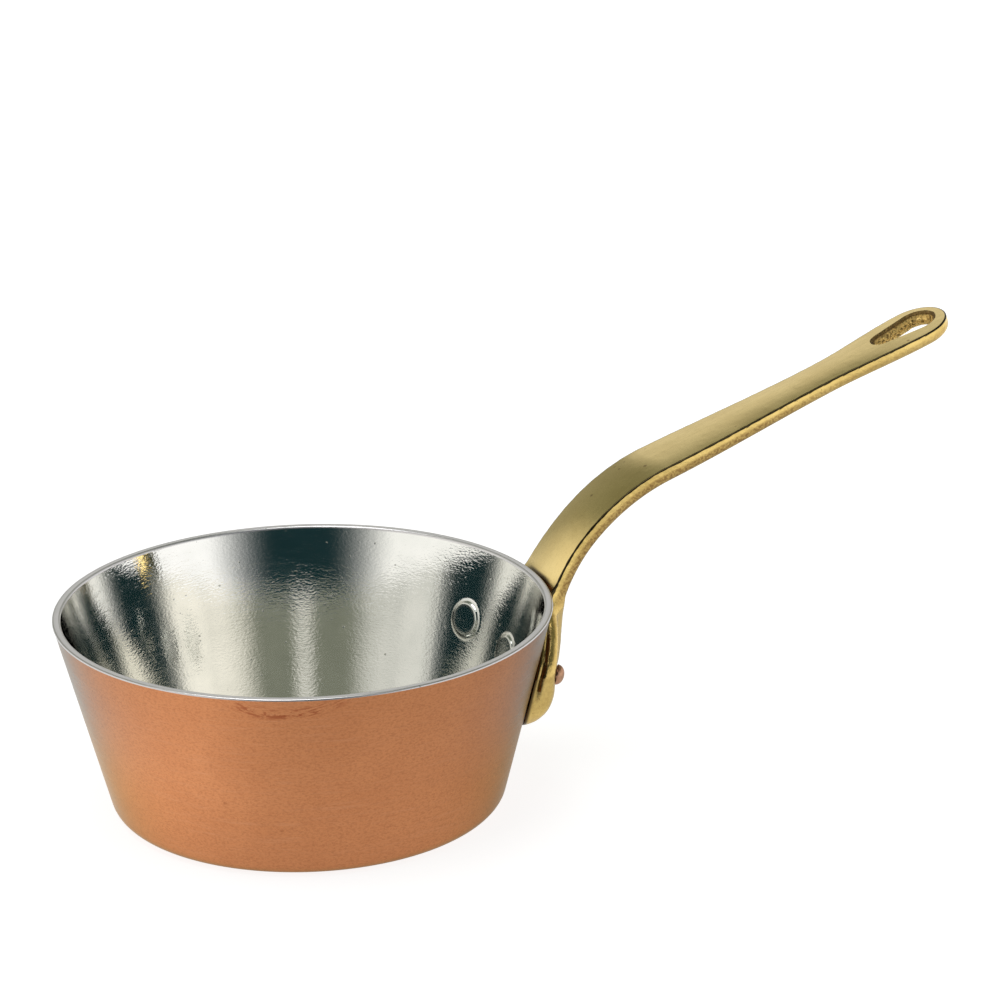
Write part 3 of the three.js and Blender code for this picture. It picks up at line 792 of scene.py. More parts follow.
def rivet_tree():
    """Sets one turned rivet head, square to the pan's wall, at each point of the input."""
    inputs = {"Head": "NodeSocketObject", "Wall Lean": "NodeSocketFloat", "Finish": "NodeSocketMaterial"}
    tree, entry, leave = geometry_tree("rivet_set", inputs)
    head = add_node(tree, "GeometryNodeObjectInfo", {"Object": entry["Head"]}).outputs["Geometry"]
    position = tree.nodes.new("GeometryNodeInputPosition").outputs[0]
    outwards = vector_math(tree, "NORMALIZE", vector_math(tree, "MULTIPLY", position, (1, 1, 0)))
    drop = times(tree, math_node(tree, "TANGENT", entry["Wall Lean"]), -1.0)
    down = add_node(tree, "ShaderNodeCombineXYZ", {2: drop}).outputs[0]
    axis = vector_math(tree, "ADD", outwards, down)
    turn = add_node(tree, "FunctionNodeAlignRotationToVector", {"Vector": axis}, axis="Z").outputs[0]
    placed = {"Points": entry["Geometry"], "Instance": head, "Rotation": turn}
    heads = add_node(tree, "GeometryNodeInstanceOnPoints", placed)
    end_tree(tree, heads.outputs[0], entry["Finish"], leave)
    return tree


# The pan

def wall_radius(height, inset):
    """Radius of the surface that lies `inset` inside the pan's outer face, on the splayed wall."""
    return RIM_RADIUS - (PAN_HEIGHT - height) * math.tan(WALL_LEAN) - inset / math.cos(WALL_LEAN)


def wall_line(heights, inset):
    """Points up the wall, `inset` inside its outer face."""
    return [(wall_radius(h, inset), h) for h in heights]


def arc(x, y, radius, start, stop, steps):
    angles = np.linspace(start, stop, steps + 1)
    return [(x + radius * math.cos(a), y + radius * math.sin(a)) for a in angles]


def base_line(inset, steps=CORNER_STEPS):
    """From the axis along the base and round its corner."""
    centre = wall_radius(BASE_CORNER_RADIUS, BASE_CORNER_RADIUS)
    radius = BASE_CORNER_RADIUS - inset
    corner = arc(centre, BASE_CORNER_RADIUS, radius, -math.pi / 2, -WALL_LEAN, steps)
    return [(share * centre, inset) for share in BASE_ROWS] + corner


def copper_profile():
    """Out along the base, up the outside, and back down the inside."""
    heights = np.linspace(WALL_START, COPPER_TOP, COPPER_ROWS)
    outside = base_line(0.0) + wall_line(heights, 0.0)
    inside = base_line(COPPER_THICKNESS) + wall_line(heights, COPPER_THICKNESS)
    return outside + inside[::-1]


def make_copper_body(tree, finish):
    """The copper pan, turned from its profile."""
    piece = profile_piece("copper_body_spun", copper_profile())
    run_tree(piece, tree, {"Segments": PAN_SEGMENTS, "Finish": finish})
    smooth_within(piece.data, degrees=40)
    return piece


def rivet_axes():
    """Each rivet's start on the copper's inner face, its axis, and its outer seat's distance."""
    rivets = []
    for spread, depth, seat in RIVETS:
        height = PAN_HEIGHT - depth
        radius = wall_radius(height, COPPER_THICKNESS)
        turn = math.asin(spread / radius)
        start = np.array([radius * math.cos(turn), spread, height])
        level = math.cos(WALL_LEAN)
        axis = np.array([level * math.cos(turn), level * math.sin(turn), -math.sin(WALL_LEAN)])
        rivets.append((start, axis, seat))
    return rivets


def tin_rows():
    """The lining's face up to the rim, over it and down its back, and how many points the face has."""
    round_start = PAN_HEIGHT - RIM_ROUND
    low, high = FINE_HEIGHTS
    heights = np.concatenate([
        np.linspace(WALL_START, low, TIN_ROWS, endpoint=False),
        np.linspace(low, high, FINE_ROWS, endpoint=False),
        np.linspace(high, round_start - RIM_STRIP, TIN_ROWS),
        [round_start],
    ])
    face = base_line(TIN_FACE) + wall_line(heights, TIN_FACE)
    inner = wall_radius(PAN_HEIGHT, TIN_FACE) + RIM_ROUND
    outer = wall_radius(PAN_HEIGHT, 0.0) - RIM_ROUND
    rim = arc(inner, round_start, RIM_ROUND, math.pi, math.pi / 2, RIM_STEPS)[1:]
    rim += arc(outer, round_start, RIM_ROUND, math.pi / 2, 0.0, RIM_STEPS)
    back_heights = np.linspace(WALL_START, TIN_LIP, TIN_BACK_ROWS)
    back = base_line(TIN_BACK, BACK_CORNER_STEPS) + wall_line(back_heights, TIN_BACK)
    return face + rim + wall_line([TIN_LIP], 0.0) + back[::-1], len(face)


def tin_turns():
    """Angles round the lining, finer across the rivets."""
    near = np.linspace(-FINE_TURN, FINE_TURN, FINE_COLUMNS)
    far = np.linspace(FINE_TURN, 2 * math.pi - FINE_TURN, TIN_COLUMNS)[1:-1]
    return np.concatenate([near, far])


def boss_share(distance):
    """How far the tin is raised, as a share of the boss's height, at a distance from a rivet's axis."""
    edge = np.clip((distance - BOSS_FLAT) / (BOSS_FOOT - BOSS_FLAT), 0.0, 1.0)
    fillet = np.clip((BOSS_FILLET - distance) / (BOSS_FILLET - BOSS_FOOT), 0.0, 1.0)
    raised = np.sqrt(np.clip(1.0 - edge**2, 0.0, 1.0))
    return raised * (1 - BOSS_FILLET_SHARE) + BOSS_FILLET_SHARE * fillet**2


def from_rivet(points, start, axis):
    """How far each point is along a rivet's axis, and how far from it."""
    away = points - start
    along = away @ axis
    return along, np.linalg.norm(away - along[:, None] * axis, axis=1)


def boss_edges(points):
    """How much each point lies on the dull edge of a boss."""
    edges = np.zeros(len(points))
    for start, axis, _ in rivet_axes():
        along, distance = from_rivet(points, start, axis)
        inner = ease(distance, BOSS_FLAT - BOSS_DULL, BOSS_FLAT)
        outer = 1 - ease(distance, BOSS_FOOT, BOSS_FILLET)
        edges = np.maximum(edges, inner * outer * (along > -RIVET_REACH))
    return edges


def raise_bosses(points):
    """Moves the tin out over each rivet's inner head, flat in the middle."""
    level = -(BOND_GAP + TIN_THICKNESS + BOSS_HEIGHT)
    for start, axis, _ in rivet_axes():
        along, distance = from_rivet(points, start, axis)
        share = np.where(along > -RIVET_REACH, boss_share(distance), 0.0)
        lift = np.minimum(level - along, 0.0) * share
        points = points + lift[:, None] * axis
    return points


def make_tin_lining(finish):
    """The tin over the pan's inside and rim, raised over the rivets' inner heads."""
    rows, face_count = tin_rows()
    turns = tin_turns()
    radius = np.array([r for r, _ in rows])
    height = np.array([z for _, z in rows])
    columns = []
    for turn in turns:
        column = np.stack([radius * math.cos(turn), radius * math.sin(turn), height], axis=1)
        column[:face_count] = raise_bosses(column[:face_count])
        columns.append(column)
    points = np.concatenate(columns)
    count = len(rows)
    faces = []
    for c in range(len(turns)):
        here = c * count
        there = ((c + 1) % len(turns)) * count
        faces += [(here + r, here + r + 1, there + r + 1, there + r) for r in range(count - 1)]
    mesh = make_mesh("tin_lining_wiped", points.tolist(), [], faces)
    face_outwards(mesh)
    store_mark(mesh, "boss", boss_edges(mesh_points(mesh)))
    smooth_within(mesh, degrees=50)
    mesh.materials.append(finish)
    return new_piece("tin_lining_wiped", mesh)


# The rivets

def rivet_profile(seat):
    """The outer head and the shank, along +Z, with height 0 on the outer head's seat."""
    dome = []
    for angle in np.linspace(0.0, math.pi / 2, HEAD_POINTS)[:-1]:
        hammered = HAMMERED_SHARE * math.cos(angle) ** HAMMERED_POWER
        radius = OUTER_HEAD_RADIUS * (hammered + (1 - HAMMERED_SHARE) * math.cos(angle))
        dome.append((radius, OUTER_HEAD_HEIGHT * math.sin(angle)))
    dome.append((0.0, OUTER_HEAD_HEIGHT))
    under = -(seat - COPPER_THICKNESS)
    return [(0.0, under), (SHANK_RADIUS, under), (SHANK_RADIUS, 0.0)] + dome


def make_rivets(turned, tree, finish):
    """The rivets' outer heads and shanks, all alike; their inner heads are hidden by the tin."""
    shortest = min(seat for _, _, seat in RIVETS)
    head = profile_piece("rivet_head", rivet_profile(shortest))
    run_tree(head, turned, {"Segments": RIVET_SEGMENTS, "Finish": finish})
    seats = [(start + axis * (seat + SEAT_GAP)).tolist() for start, axis, seat in rivet_axes()]
    piece = new_piece("rivets_hammered", make_mesh("rivets_hammered", seats, [], []))
    run_tree(piece, tree, {"Head": head, "Wall Lean": WALL_LEAN, "Finish": finish})
    bpy.data.objects.remove(head)
    smooth_within(piece.data, degrees=40)
    return piece


# The handle above the rim

def bend_point(slope):
    """Middle of the handle's top face in the bend, where it has a slope."""
    x = NECK_TOP_X + BEND_RADIUS * (math.sin(NECK_SLOPE) - math.sin(slope))
    return x, PAN_HEIGHT + BEND_RADIUS * (math.cos(slope) - math.cos(NECK_SLOPE))


def top_line(along):
    """Middle of the handle's top face and its slope, at a distance along it from the rim's height."""
    if along < BEND_LENGTH:
        slope = NECK_SLOPE - along / BEND_RADIUS
        return *bend_point(slope), slope
    start_x, start_z = bend_point(GRIP_SLOPE)
    slope = GRIP_SLOPE + (along - BEND_LENGTH) / GRIP_SWEEP_RADIUS
    x = start_x + GRIP_SWEEP_RADIUS * (math.sin(slope) - math.sin(GRIP_SLOPE))
    return x, start_z - GRIP_SWEEP_RADIUS * (math.cos(slope) - math.cos(GRIP_SLOPE)), slope


def bar_point(place, on, side, down):
    """A point in space, further on, to the side and down from a place on the top face's middle."""
    x, z, slope = place
    on_x, on_z = on * math.cos(slope), on * math.sin(slope)
    return x + on_x + down * math.sin(slope), side, z + on_z - down * math.cos(slope)


def bar_width(along):
    """Width of the handle above the rim, eased from one width to the next."""
    places = [ROOT_AT, NECK_LENGTH, BEND_LENGTH, TIP_AT - WAIST_FROM_TIP, LOOP_AT]
    widths = [ROOT_WIDTH, NECK_WIDTH, NECK_WIDTH, WAIST_WIDTH, LOOP_WIDTH]
    last = int(np.clip(np.searchsorted(places, along), 1, len(places) - 1))
    share = ease(along, places[last - 1], places[last])
    return widths[last - 1] + (widths[last] - widths[last - 1]) * share


def bar_thickness(along):
    """Thickness of the handle above the rim, even from the neck's to the tip's."""
    return NECK_THICKNESS + (TIP_THICKNESS - NECK_THICKNESS) * along / TIP_AT


def edge_sway(along, side):
    """A small uneven sway, as hand filing leaves on an edge."""
    on = along - EDGE_WAVES_START
    return EDGE_SWAY * sum(high * math.sin(pace * on + shift * side) for pace, shift, high in EDGE_WAVES)


def top_crown(along, share):
    """How far down the filed top face is, at a share of the way from its middle to its edge."""
    lift = TOP_LIFT[0] + (TOP_LIFT[1] - TOP_LIFT[0]) * ease(along, *LIFT_ALONG)
    neck, grip, loop = TOP_DROP
    drop = neck + (grip - neck) * ease(along, *DROP_ALONG)
    drop += (loop - grip) * ease(along, *LOOP_DROP_ALONG)
    return drop * share**2 - lift


def half_section(half, inner, outer, edge, rounding, groove):
    """One side of a section as [across, down] pairs, from the middle of its top face to that of its
    underside. `inner` and `outer` give how far down the two faces are at a distance across."""
    flat = half - edge
    places = [(flat - CREASE_WIDTH) * i / (INNER_STEPS - 1) for i in range(INNER_STEPS)] + [flat]
    points = [(y, inner(y)) for y in places]
    for i in range(1, EDGE_STEPS + 1):
        angle = math.pi / 2 * i / EDGE_STEPS
        y = flat + edge * math.sin(angle)
        points.append((y, inner(y) + edge * (1 - math.cos(angle))))
    top = inner(half) + edge
    bottom = outer(half) - rounding
    for i in range(1, SIDE_STEPS):
        down = top + (bottom - top) * i / SIDE_STEPS
        points.append((half - groove(down - inner(half)), down))
    for i in range(ROUND_STEPS + 1):
        angle = math.pi / 2 * i / ROUND_STEPS
        y = half - rounding + rounding * math.cos(angle)
        points.append((y, outer(y) - rounding * (1 - math.sin(angle))))
    for i in range(1, OUTER_STEPS + 1):
        y = (half - rounding) * (1 - i / OUTER_STEPS)
        points.append((y, outer(y)))
    return points


def whole_section(right, left):
    """A closed section from its two sides."""
    return right + [(-y, down) for y, down in left[-2:0:-1]]


def bar_half_section(along, side):
    """The section above the rim: crowned on top with a sharp edge, and round underneath."""
    half = bar_width(along) / 2
    thickness = bar_thickness(along)

    def inner(y):
        return top_crown(along, y / half)

    def outer(y):
        return thickness

    def no_groove(down):
        return 0.0

    edge = TOP_EDGE + edge_sway(along, side)
    return half_section(half, inner, outer, edge, UNDERSIDE_RADIUS, no_groove)


def bar_ring(along):
    """The closed section above the rim, as points in space."""
    place = top_line(along)
    section = whole_section(bar_half_section(along, 1), bar_half_section(along, -1))
    return [bar_point(place, 0.0, y, down) for y, down in section]


# The handle below the rim

def pad_half_width(depth):
    """Half the width below the rim: a flare from the neck to the pad, and a round corner at the foot."""
    if depth < PAD_WIDEST_DEPTH:
        neck = bar_width(-depth) / 2
        flare = ease(depth, FLARE_TOP_DEPTH, PAD_WIDEST_DEPTH + FLARE_OVERRUN)
        return neck + (PAD_HALF_WIDTH - neck) * flare
    return PAD_HALF_WIDTH - corner_inset(depth, PAD_CORNER_RADIUS)


def corner_inset(depth, radius):
    """How far a round corner at the pad's foot has drawn in at a depth."""
    drop = max(radius - (PAD_FOOT_DEPTH - depth), 0.0)
    return radius - math.sqrt(max(radius**2 - drop**2, 0.0))


def wall_sag(y, radius):
    """How far a round wall falls back at a distance across it."""
    return radius - math.sqrt(radius**2 - y**2)


def smooth_maximum(a, b, reach):
    """The larger of two numbers, higher by up to a quarter of the reach where they are alike."""
    share = min(max(0.5 + 0.5 * (a - b) / reach, 0.0), 1.0)
    return b + (a - b) * share + reach * share * (1 - share)


def crown_x(depth):
    """How far the pad's outer face stands from the pan's axis, in the handle's middle plane."""
    widest = wall_radius(PAN_HEIGHT - PAD_WIDEST_DEPTH, 0.0) + PAD_THICKNESS
    straight = min(depth, PAD_FOOT_DEPTH - PAD_FOOT_RADIUS)
    lean = (PAD_WIDEST_DEPTH - straight) * math.tan(PAD_FACE_LEAN)
    return widest + lean - corner_inset(depth, PAD_FOOT_RADIUS)


def outer_line(depth):
    """How far the handle's outer face stands from the pan's axis in its middle plane, by a smooth curve."""
    depths, reaches = np.array(OUTER_LINE).T
    slopes = np.gradient(reaches, depths)
    slopes[0] = -1 / math.tan(NECK_SLOPE)
    i = int(np.clip(np.searchsorted(depths, depth) - 1, 0, len(depths) - 2))
    step = depths[i + 1] - depths[i]
    t = (depth - depths[i]) / step
    from_values = (2 * t**3 - 3 * t**2 + 1) * reaches[i] + (3 * t**2 - 2 * t**3) * reaches[i + 1]
    from_slopes = (t**3 - 2 * t**2 + t) * slopes[i] + (t**3 - t**2) * slopes[i + 1]
    return from_values + step * from_slopes


def pad_half_section(depth):
    """One side of the section below the rim, with where it starts and which way it lies."""
    wall = wall_radius(PAN_HEIGHT - depth, 0.0) + SEAT_GAP
    neck_x = NECK_TOP_X - depth / math.tan(NECK_SLOPE) - ROOT_FILL * depth**2
    start = smooth_maximum(wall, neck_x, ROOT_BLEND)
    outer_depth = depth + NECK_THICKNESS * math.cos(NECK_SLOPE) * (1 - ease(depth, 0.0, RIB_DEPTH))
    reach = outer_line(outer_depth) - start
    stand = math.hypot(reach, outer_depth - depth)
    tilt = math.atan2(outer_depth - depth, reach)
    crown = min((crown_x(outer_depth) - start) / math.cos(tilt), stand)
    crown_radius = crown_x(PAD_WIDEST_DEPTH) - PAD_CROWN_OFFSET
    half = pad_half_width(depth)
    rib = bar_width(-min(depth, RIB_DEPTH)) / 2 - RIB_INSET
    hug = ease(depth, *HUG_DEPTHS)
    filed = 1 - ease(depth, *FILED_DEPTHS)
    spread = ease(depth, *SPREAD_DEPTHS)

    def inner(y):
        return filed * top_crown(-depth, min(y / rib, 1.0)) - hug * wall_sag(y, wall)

    def outer(y):
        pad = crown - wall_sag(y, crown_radius)
        neck = stand - RIB_FALL * max(0.0, y - rib) ** 2
        joined = smooth_maximum(pad, neck, PAD_BLEND) - PAD_BLEND / 4
        return max(stand + spread * (min(joined, stand) - stand), inner(y) + LEAST_THICKNESS)

    room = outer(half) - inner(half)
    rounding = min(PAD_EDGE_ROUND + SOFT_EDGE * (1 - hug), ROUND_SHARE * room)
    edge = min(TOP_EDGE + SOFT_EDGE * hug, EDGE_SHARE * room)
    deep = PAD_GROOVE * float(ease(depth, *GROOVE_STARTS) * (1 - ease(depth, *GROOVE_ENDS)))

    def groove(down):
        return deep * math.exp(-((down - PAD_GROOVE_AT) / PAD_GROOVE_WIDTH) ** 2)

    return half_section(half, inner, outer, edge, rounding, groove), start, tilt


def pad_ring(depth):
    """The closed section below the rim, as points in space."""
    half, start, tilt = pad_half_section(depth)
    section = whole_section(half, half)
    z = PAN_HEIGHT - depth
    return [(start + down * math.cos(tilt), y, z - down * math.sin(tilt)) for y, down in section]


# The whole handle

def handle_rings():
    """Every section of the handle, from the pad's foot to the middle of the loop."""
    turn = np.linspace(0.0, math.pi / 2, FOOT_RINGS)
    low = PAD_FOOT_DEPTH - FOOT_INSET - PAD_CORNER_RADIUS * (1 - np.cos(turn))
    depths = list(low[:-1]) + list(np.arange(low[-1], LAST_PAD_DEPTH, -PAD_RING_STEP))
    along = list(np.linspace(0.0, BEND_LENGTH, BEND_RINGS, endpoint=False))
    along += list(np.linspace(BEND_LENGTH, LOOP_AT, GRIP_RINGS))
    return [pad_ring(d) for d in depths] + [bar_ring(a) for a in along]


def tip_points():
    """The round end of the loop: one side of its last section, turned round to meet the other."""
    place = top_line(LOOP_AT)
    near = bar_half_section(LOOP_AT, 1)[1:-1]
    far = bar_half_section(LOOP_AT, -1)[1:-1]
    rows = []
    for i in range(1, TIP_STEPS):
        share = i / TIP_STEPS
        turn = math.pi * share
        row = []
        for (y, down), (far_y, far_down) in zip(near, far):
            reach = y + (far_y - y) * share
            depth = down + (far_down - down) * share
            row.append(bar_point(place, reach * math.sin(turn), reach * math.cos(turn), depth))
        rows.append(row)
    return rows


def close_tip(points, faces, kinds, size):
    """Adds the loop's round end to the skin, from one side of the last section to the other."""
    last = len(points) - size
    half = size // 2
    rows = [list(range(last + 1, last + half))]
    for row in tip_points():
        rows.append(list(range(len(points), len(points) + len(row))))
        points += row
    rows.append([last + size - i for i in range(1, half)])
    for a, b in zip(rows, rows[1:]):
        faces.append((last, a[0], b[0]))
        faces += [(a[i], a[i + 1], b[i + 1], b[i]) for i in range(len(a) - 1)]
        faces.append((a[-1], last + half, b[-1]))
        kinds += [POLISHED if i < TOP_FACES else CAST for i in range(len(a) + 1)]


def handle_mesh(finishes):
    """The whole casting without its hole: sections joined into a skin, closed at the foot and the tip."""
    rings = handle_rings()
    size = len(rings[0])
    points = [p for ring in rings for p in ring]
    faces = ring_faces(len(rings), size)
    kinds = []
    for ring in rings[:-1]:
        top = TOP_FACES if ring[0][2] > PAN_HEIGHT - BAR_DEPTHS[0] else 0
        kinds += [POLISHED if min(i, size - 1 - i) < top else CAST for i in range(size)]
    faces.append(tuple(range(size)))
    kinds.append(CAST)
    close_tip(points, faces, kinds, size)
    return brass_mesh("brass_handle_cast", points, faces, finishes, kinds)


def brass_mesh(name, points, faces, finishes, kinds):
    """A mesh that has all the brass finishes, with a kind of finish for each face."""
    mesh = make_mesh(name, points, [], faces)
    for finish in finishes:
        mesh.materials.append(finish)
    mesh.polygons.foreach_set("material_index", kinds)
    face_outwards(mesh)
    return mesh


def hole_outline(grow):
    """The hanging hole's pear shape as [along, across] pairs about its wide end, grown by an amount."""
    back = HOLE_LENGTH - HOLE_WIDE_RADIUS - HOLE_NARROW_RADIUS
    tangent = math.pi / 2 + math.asin((HOLE_WIDE_RADIUS - HOLE_NARROW_RADIUS) / back)
    front = arc(0.0, 0.0, HOLE_WIDE_RADIUS + grow, -tangent, tangent, HOLE_WIDE_STEPS)
    turn = 2 * math.pi - tangent
    return front + arc(-back, 0.0, HOLE_NARROW_RADIUS + grow, tangent, turn, HOLE_NARROW_STEPS)


def hole_rings():
    """How far down, and how much wider than the hole, each ring of the cutter is."""
    thick = bar_thickness(HOLE_AT)
    upper = [(-CUTTER_PROUD, HOLE_EDGE_ROUND + CUTTER_PROUD)]
    for share in np.linspace(0.0, 1.0, HOLE_EDGE_POINTS):
        rise = HOLE_EDGE_ROUND * (1 - math.sqrt(1 - (1 - share) ** 2))
        upper.append((share * HOLE_EDGE_ROUND, rise))
    lower = [(thick - down, grow - HOLE_DRAFT) for down, grow in upper]
    middle = PARTING_SHARE * thick
    wall = -HOLE_DRAFT / 2
    ridge = [
        (middle - PARTING_RIDGE_HALF, wall),
        (middle, wall - PARTING_RIDGE),
        (middle + PARTING_RIDGE_HALF, wall),
    ]
    return upper + ridge + lower[::-1]


def hole_cutter(finishes):
    """The solid that is taken out of the loop, with a rough wall and rounded edges."""
    place = top_line(HOLE_AT)
    rings = hole_rings()
    points = []
    for down, grow in rings:
        for i, (on, side) in enumerate(hole_outline(grow)):
            uneven = sum(math.sin(pace * i + down_pace * down) for pace, down_pace in HOLE_WAVES)
            wider = 1 + HOLE_UNEVEN * uneven / math.hypot(on, side)
            points.append(bar_point(place, on * wider, side * wider + HOLE_SIDE_SHIFT, down))
    size = len(points) // len(rings)
    faces = [tuple(range(size)), tuple(range(len(points) - size, len(points)))]
    faces += ring_faces(len(rings), size)
    mesh = brass_mesh("hanging_hole", points, faces, finishes, [HOLE_WALL] * len(faces))
    return new_piece("hanging_hole", mesh)


def bar_places(points):
    """Where each point is along, across and below the handle's top face, in millimetres."""
    along = np.linspace(0.0, TIP_AT, BAR_SAMPLES)
    x, z, slopes = np.array([top_line(a) for a in along]).T
    spots = np.stack([x, z], axis=1)
    flat = points[:, [0, 2]]
    nearest = np.argmin(((flat[:, None, :] - spots[None, :, :]) ** 2).sum(2), axis=1)
    offset = flat - spots[nearest]
    slope = slopes[nearest]
    down = offset[:, 0] * np.sin(slope) - offset[:, 1] * np.cos(slope)
    on = offset[:, 0] * np.cos(slope) + offset[:, 1] * np.sin(slope)
    return np.stack([along[nearest] + on, points[:, 1], down], axis=1)


def mark_handle(mesh):
    """Stores where each point lies on the handle, how creased and rough it is there, and how much dirt and
    painted shade it has.
    """
    points = mesh_points(mesh)
    bar = bar_places(points)
    attribute = mesh.attributes.new("bar", "FLOAT_VECTOR", "POINT")
    attribute.data.foreach_set("vector", (bar * MM).ravel())
    along, across, down = bar.T
    half = np.array([bar_width(min(a, LOOP_AT)) / 2 for a in along])
    reach = np.where(along > LOOP_AT, np.hypot(along - LOOP_AT, across), np.abs(across))
    inside = half - reach
    crown = np.array([top_crown(a, 1.0) for a in along])
    below_edge = down - crown
    on_bar = ease(points[:, 2], PAN_HEIGHT - BAR_DEPTHS[0], PAN_HEIGHT - BAR_DEPTHS[1])
    at_edge = (inside < TOP_EDGE + CREASE_IN) & (below_edge < TOP_EDGE + CREASE_DOWN)
    store_mark(mesh, "crease", at_edge * on_bar)
    thick = np.array([bar_thickness(a) for a in along]) - crown
    low = ease(below_edge / thick, *ROUGH_SHARES) * (1 - SMOOTHER_BY * ease(along, *SMOOTHER_ALONG))
    underneath = (inside > UNDERSIDE_IN) & (below_edge > UNDERSIDE_DOWN)
    store_mark(mesh, "rough", np.maximum(low, underneath) * on_bar + PAD_ROUGH * (1 - on_bar))
    store_mark(mesh, "grime", handle_shade_and_grime(points))


def handle_shade_and_grime(points):
    """How much painted shade and dirt each point has: where the casting meets the wall and the rivets, and
    in its grooves.
    """
    across = np.abs(points[:, 1])
    height = points[:, 2]
    gap = np.hypot(points[:, 0], across) - np.array([wall_radius(z, 0.0) for z in height])
    below_rim = 1 - ease(height, PAN_HEIGHT - SHADE_AND_GRIME_TOP[0], PAN_HEIGHT - SHADE_AND_GRIME_TOP[1])
    at_root = 1 - ease(across, *ROOT_ACROSS)
    near, far = (least + more * at_root for least, more in zip(SHADE_AND_GRIME_GAP, ROOT_SHADE_AND_GRIME_GAP))
    # painted shade and dirt where the casting meets the wall, wider behind the neck
    at_wall = 1 - ease(gap, near, far)
    # painted shade in the pad's groove
    in_groove = np.exp(-(((gap - SEAT_GAP - PAD_GROOVE_AT) / GROOVE_SHADE_WIDTH) ** 2))
    in_groove = in_groove * ease(across, *GROOVE_ACROSS) * ease(height, *GROOVE_SHADE_HEIGHTS)
    grime = np.maximum(at_wall, in_groove) * below_rim
    # painted shade round the rivets' outer heads
    for start, axis, seat in rivet_axes():
        along, distance = from_rivet(points, start, axis)
        ring = 1 - ease(distance, OUTER_HEAD_RADIUS, OUTER_HEAD_RADIUS + RIVET_SHADE_WIDTH)
        grime = np.maximum(grime, RIVET_SHADE * ring * (along > seat - RIVET_SHADE_DEPTH))
    return grime


def make_brass_handle(finishes):
    """The handle's casting, with the hanging hole cut through its loop."""
    piece = new_piece("brass_handle_cast", handle_mesh(finishes))
    cutter = hole_cutter(finishes)
    cut = piece.modifiers.new("hanging_hole", "BOOLEAN")
    cut.operation = "DIFFERENCE"
    cut.solver = "EXACT"
    cut.object = cutter
    made_plain(piece)
    bpy.data.objects.remove(cutter)
    mark_handle(piece.data)
    smooth_within(piece.data, degrees=38)
    return piece


# The studio

def studio_place(x, y, z):
    """A place given in the photograph's axes, in metres, turned into the part's."""
    return Matrix.Rotation(PHOTO_TURN, 3, "Z") @ Vector((x, y, z))


def add_camera():
    """A camera at the photograph's view."""
    yaw, pitch, roll = CAMERA_YAW, CAMERA_PITCH, CAMERA_ROLL
    forward = Vector((math.sin(yaw) * math.cos(pitch), math.cos(yaw) * math.cos(pitch), -math.sin(pitch)))
    right = Vector((math.cos(yaw), -math.sin(yaw), 0.0))
    up = right.cross(forward)
    rolled_right = math.cos(roll) * right + math.sin(roll) * up
    rolled_up = -math.sin(roll) * right + math.cos(roll) * up
    axes = Matrix((rolled_right, rolled_up, -forward)).transposed().to_4x4()
    camera = bpy.data.objects.new("camera", bpy.data.cameras.new("camera"))
    camera.data.lens = CAMERA_LENS
    camera.data.clip_end = CAMERA_REACH
    camera.matrix_world = Matrix.Rotation(PHOTO_TURN, 4, "Z") @ Matrix.Translation(CAMERA_PLACE) @ axes
    bpy.context.scene.collection.objects.link(camera)
    bpy.context.scene.camera = camera


def floor_glow(tree):
    """How white the floor looks by itself: nearly white to the camera, and uneven to the metals, with
    painted light on the left and close to the pan and painted shade on the right.
    """
    place = add_node(tree, "ShaderNodeTexCoord").outputs["Object"]
    away = vector_math(tree, "LENGTH", place)
    shown = map_range(tree, away, FLOOR_FADE, to=(FLOOR_GLOW, 1.0))
    across = towards(tree, place, studio_place(1, 0, 0))
    # painted light and shade on the floor, seen only by the metals
    mirrored = map_range(tree, across, MIRROR_FADE, to=MIRROR_GLOW)
    mirrored = times(tree, mirrored, map_range(tree, away, NEAR_FADE, to=(1.0, NEAR_GAIN)))
    mirrored = larger(tree, mirrored, map_range(tree, away, FAR_FADE, to=(0.0, FAR_GLOW)))
    rays = tree.nodes.new("ShaderNodeLightPath").outputs
    in_metal = times(tree, larger(tree, rays["Is Glossy Ray"], rays["Is Transmission Ray"]), mirrored)
    return math_node(tree, "MULTIPLY_ADD", rays["Is Camera Ray"], shown, in_metal)


def add_floor():
    """A white floor that keeps the pan's shadow."""
    material = bpy.data.materials.new("white_floor")
    material.use_nodes = True
    tree = material.node_tree
    tree.nodes.clear()
    paper = add_node(tree, "ShaderNodeBsdfDiffuse", {"Color": FLOOR_PAPER})
    glow = add_node(tree, "ShaderNodeEmission", {"Color": (1, 1, 1, 1), "Strength": floor_glow(tree)})
    both = add_node(tree, "ShaderNodeAddShader", {0: paper.outputs[0], 1: glow.outputs[0]})
    add_node(tree, "ShaderNodeOutputMaterial", {"Surface": both.outputs[0]})
    mesh = bpy.data.meshes.new("floor")
    reach = FLOOR_REACH
    corners = [(-reach, -reach), (reach, -reach), (reach, reach), (-reach, reach)]
    mesh.from_pydata([(x, y, -FLOOR_DROP) for x, y in corners], [], [(0, 1, 2, 3)])
    mesh.materials.append(material)
    new_piece("floor", mesh)


def room_walls(tree, back, height):
    """The room without its lights: grey behind, and dark in front down to a pale foot."""
    wall = mix_colour(tree, map_range(tree, height, WALL_HEIGHTS), WALL_LOW, WALL_HIGH)
    front = mix_colour(tree, map_range(tree, height, FRONT_HEIGHTS), FRONT_DARK, FRONT_PALE)
    return mix_colour(tree, map_range(tree, back, FRONT_TO_BACK), front, wall)


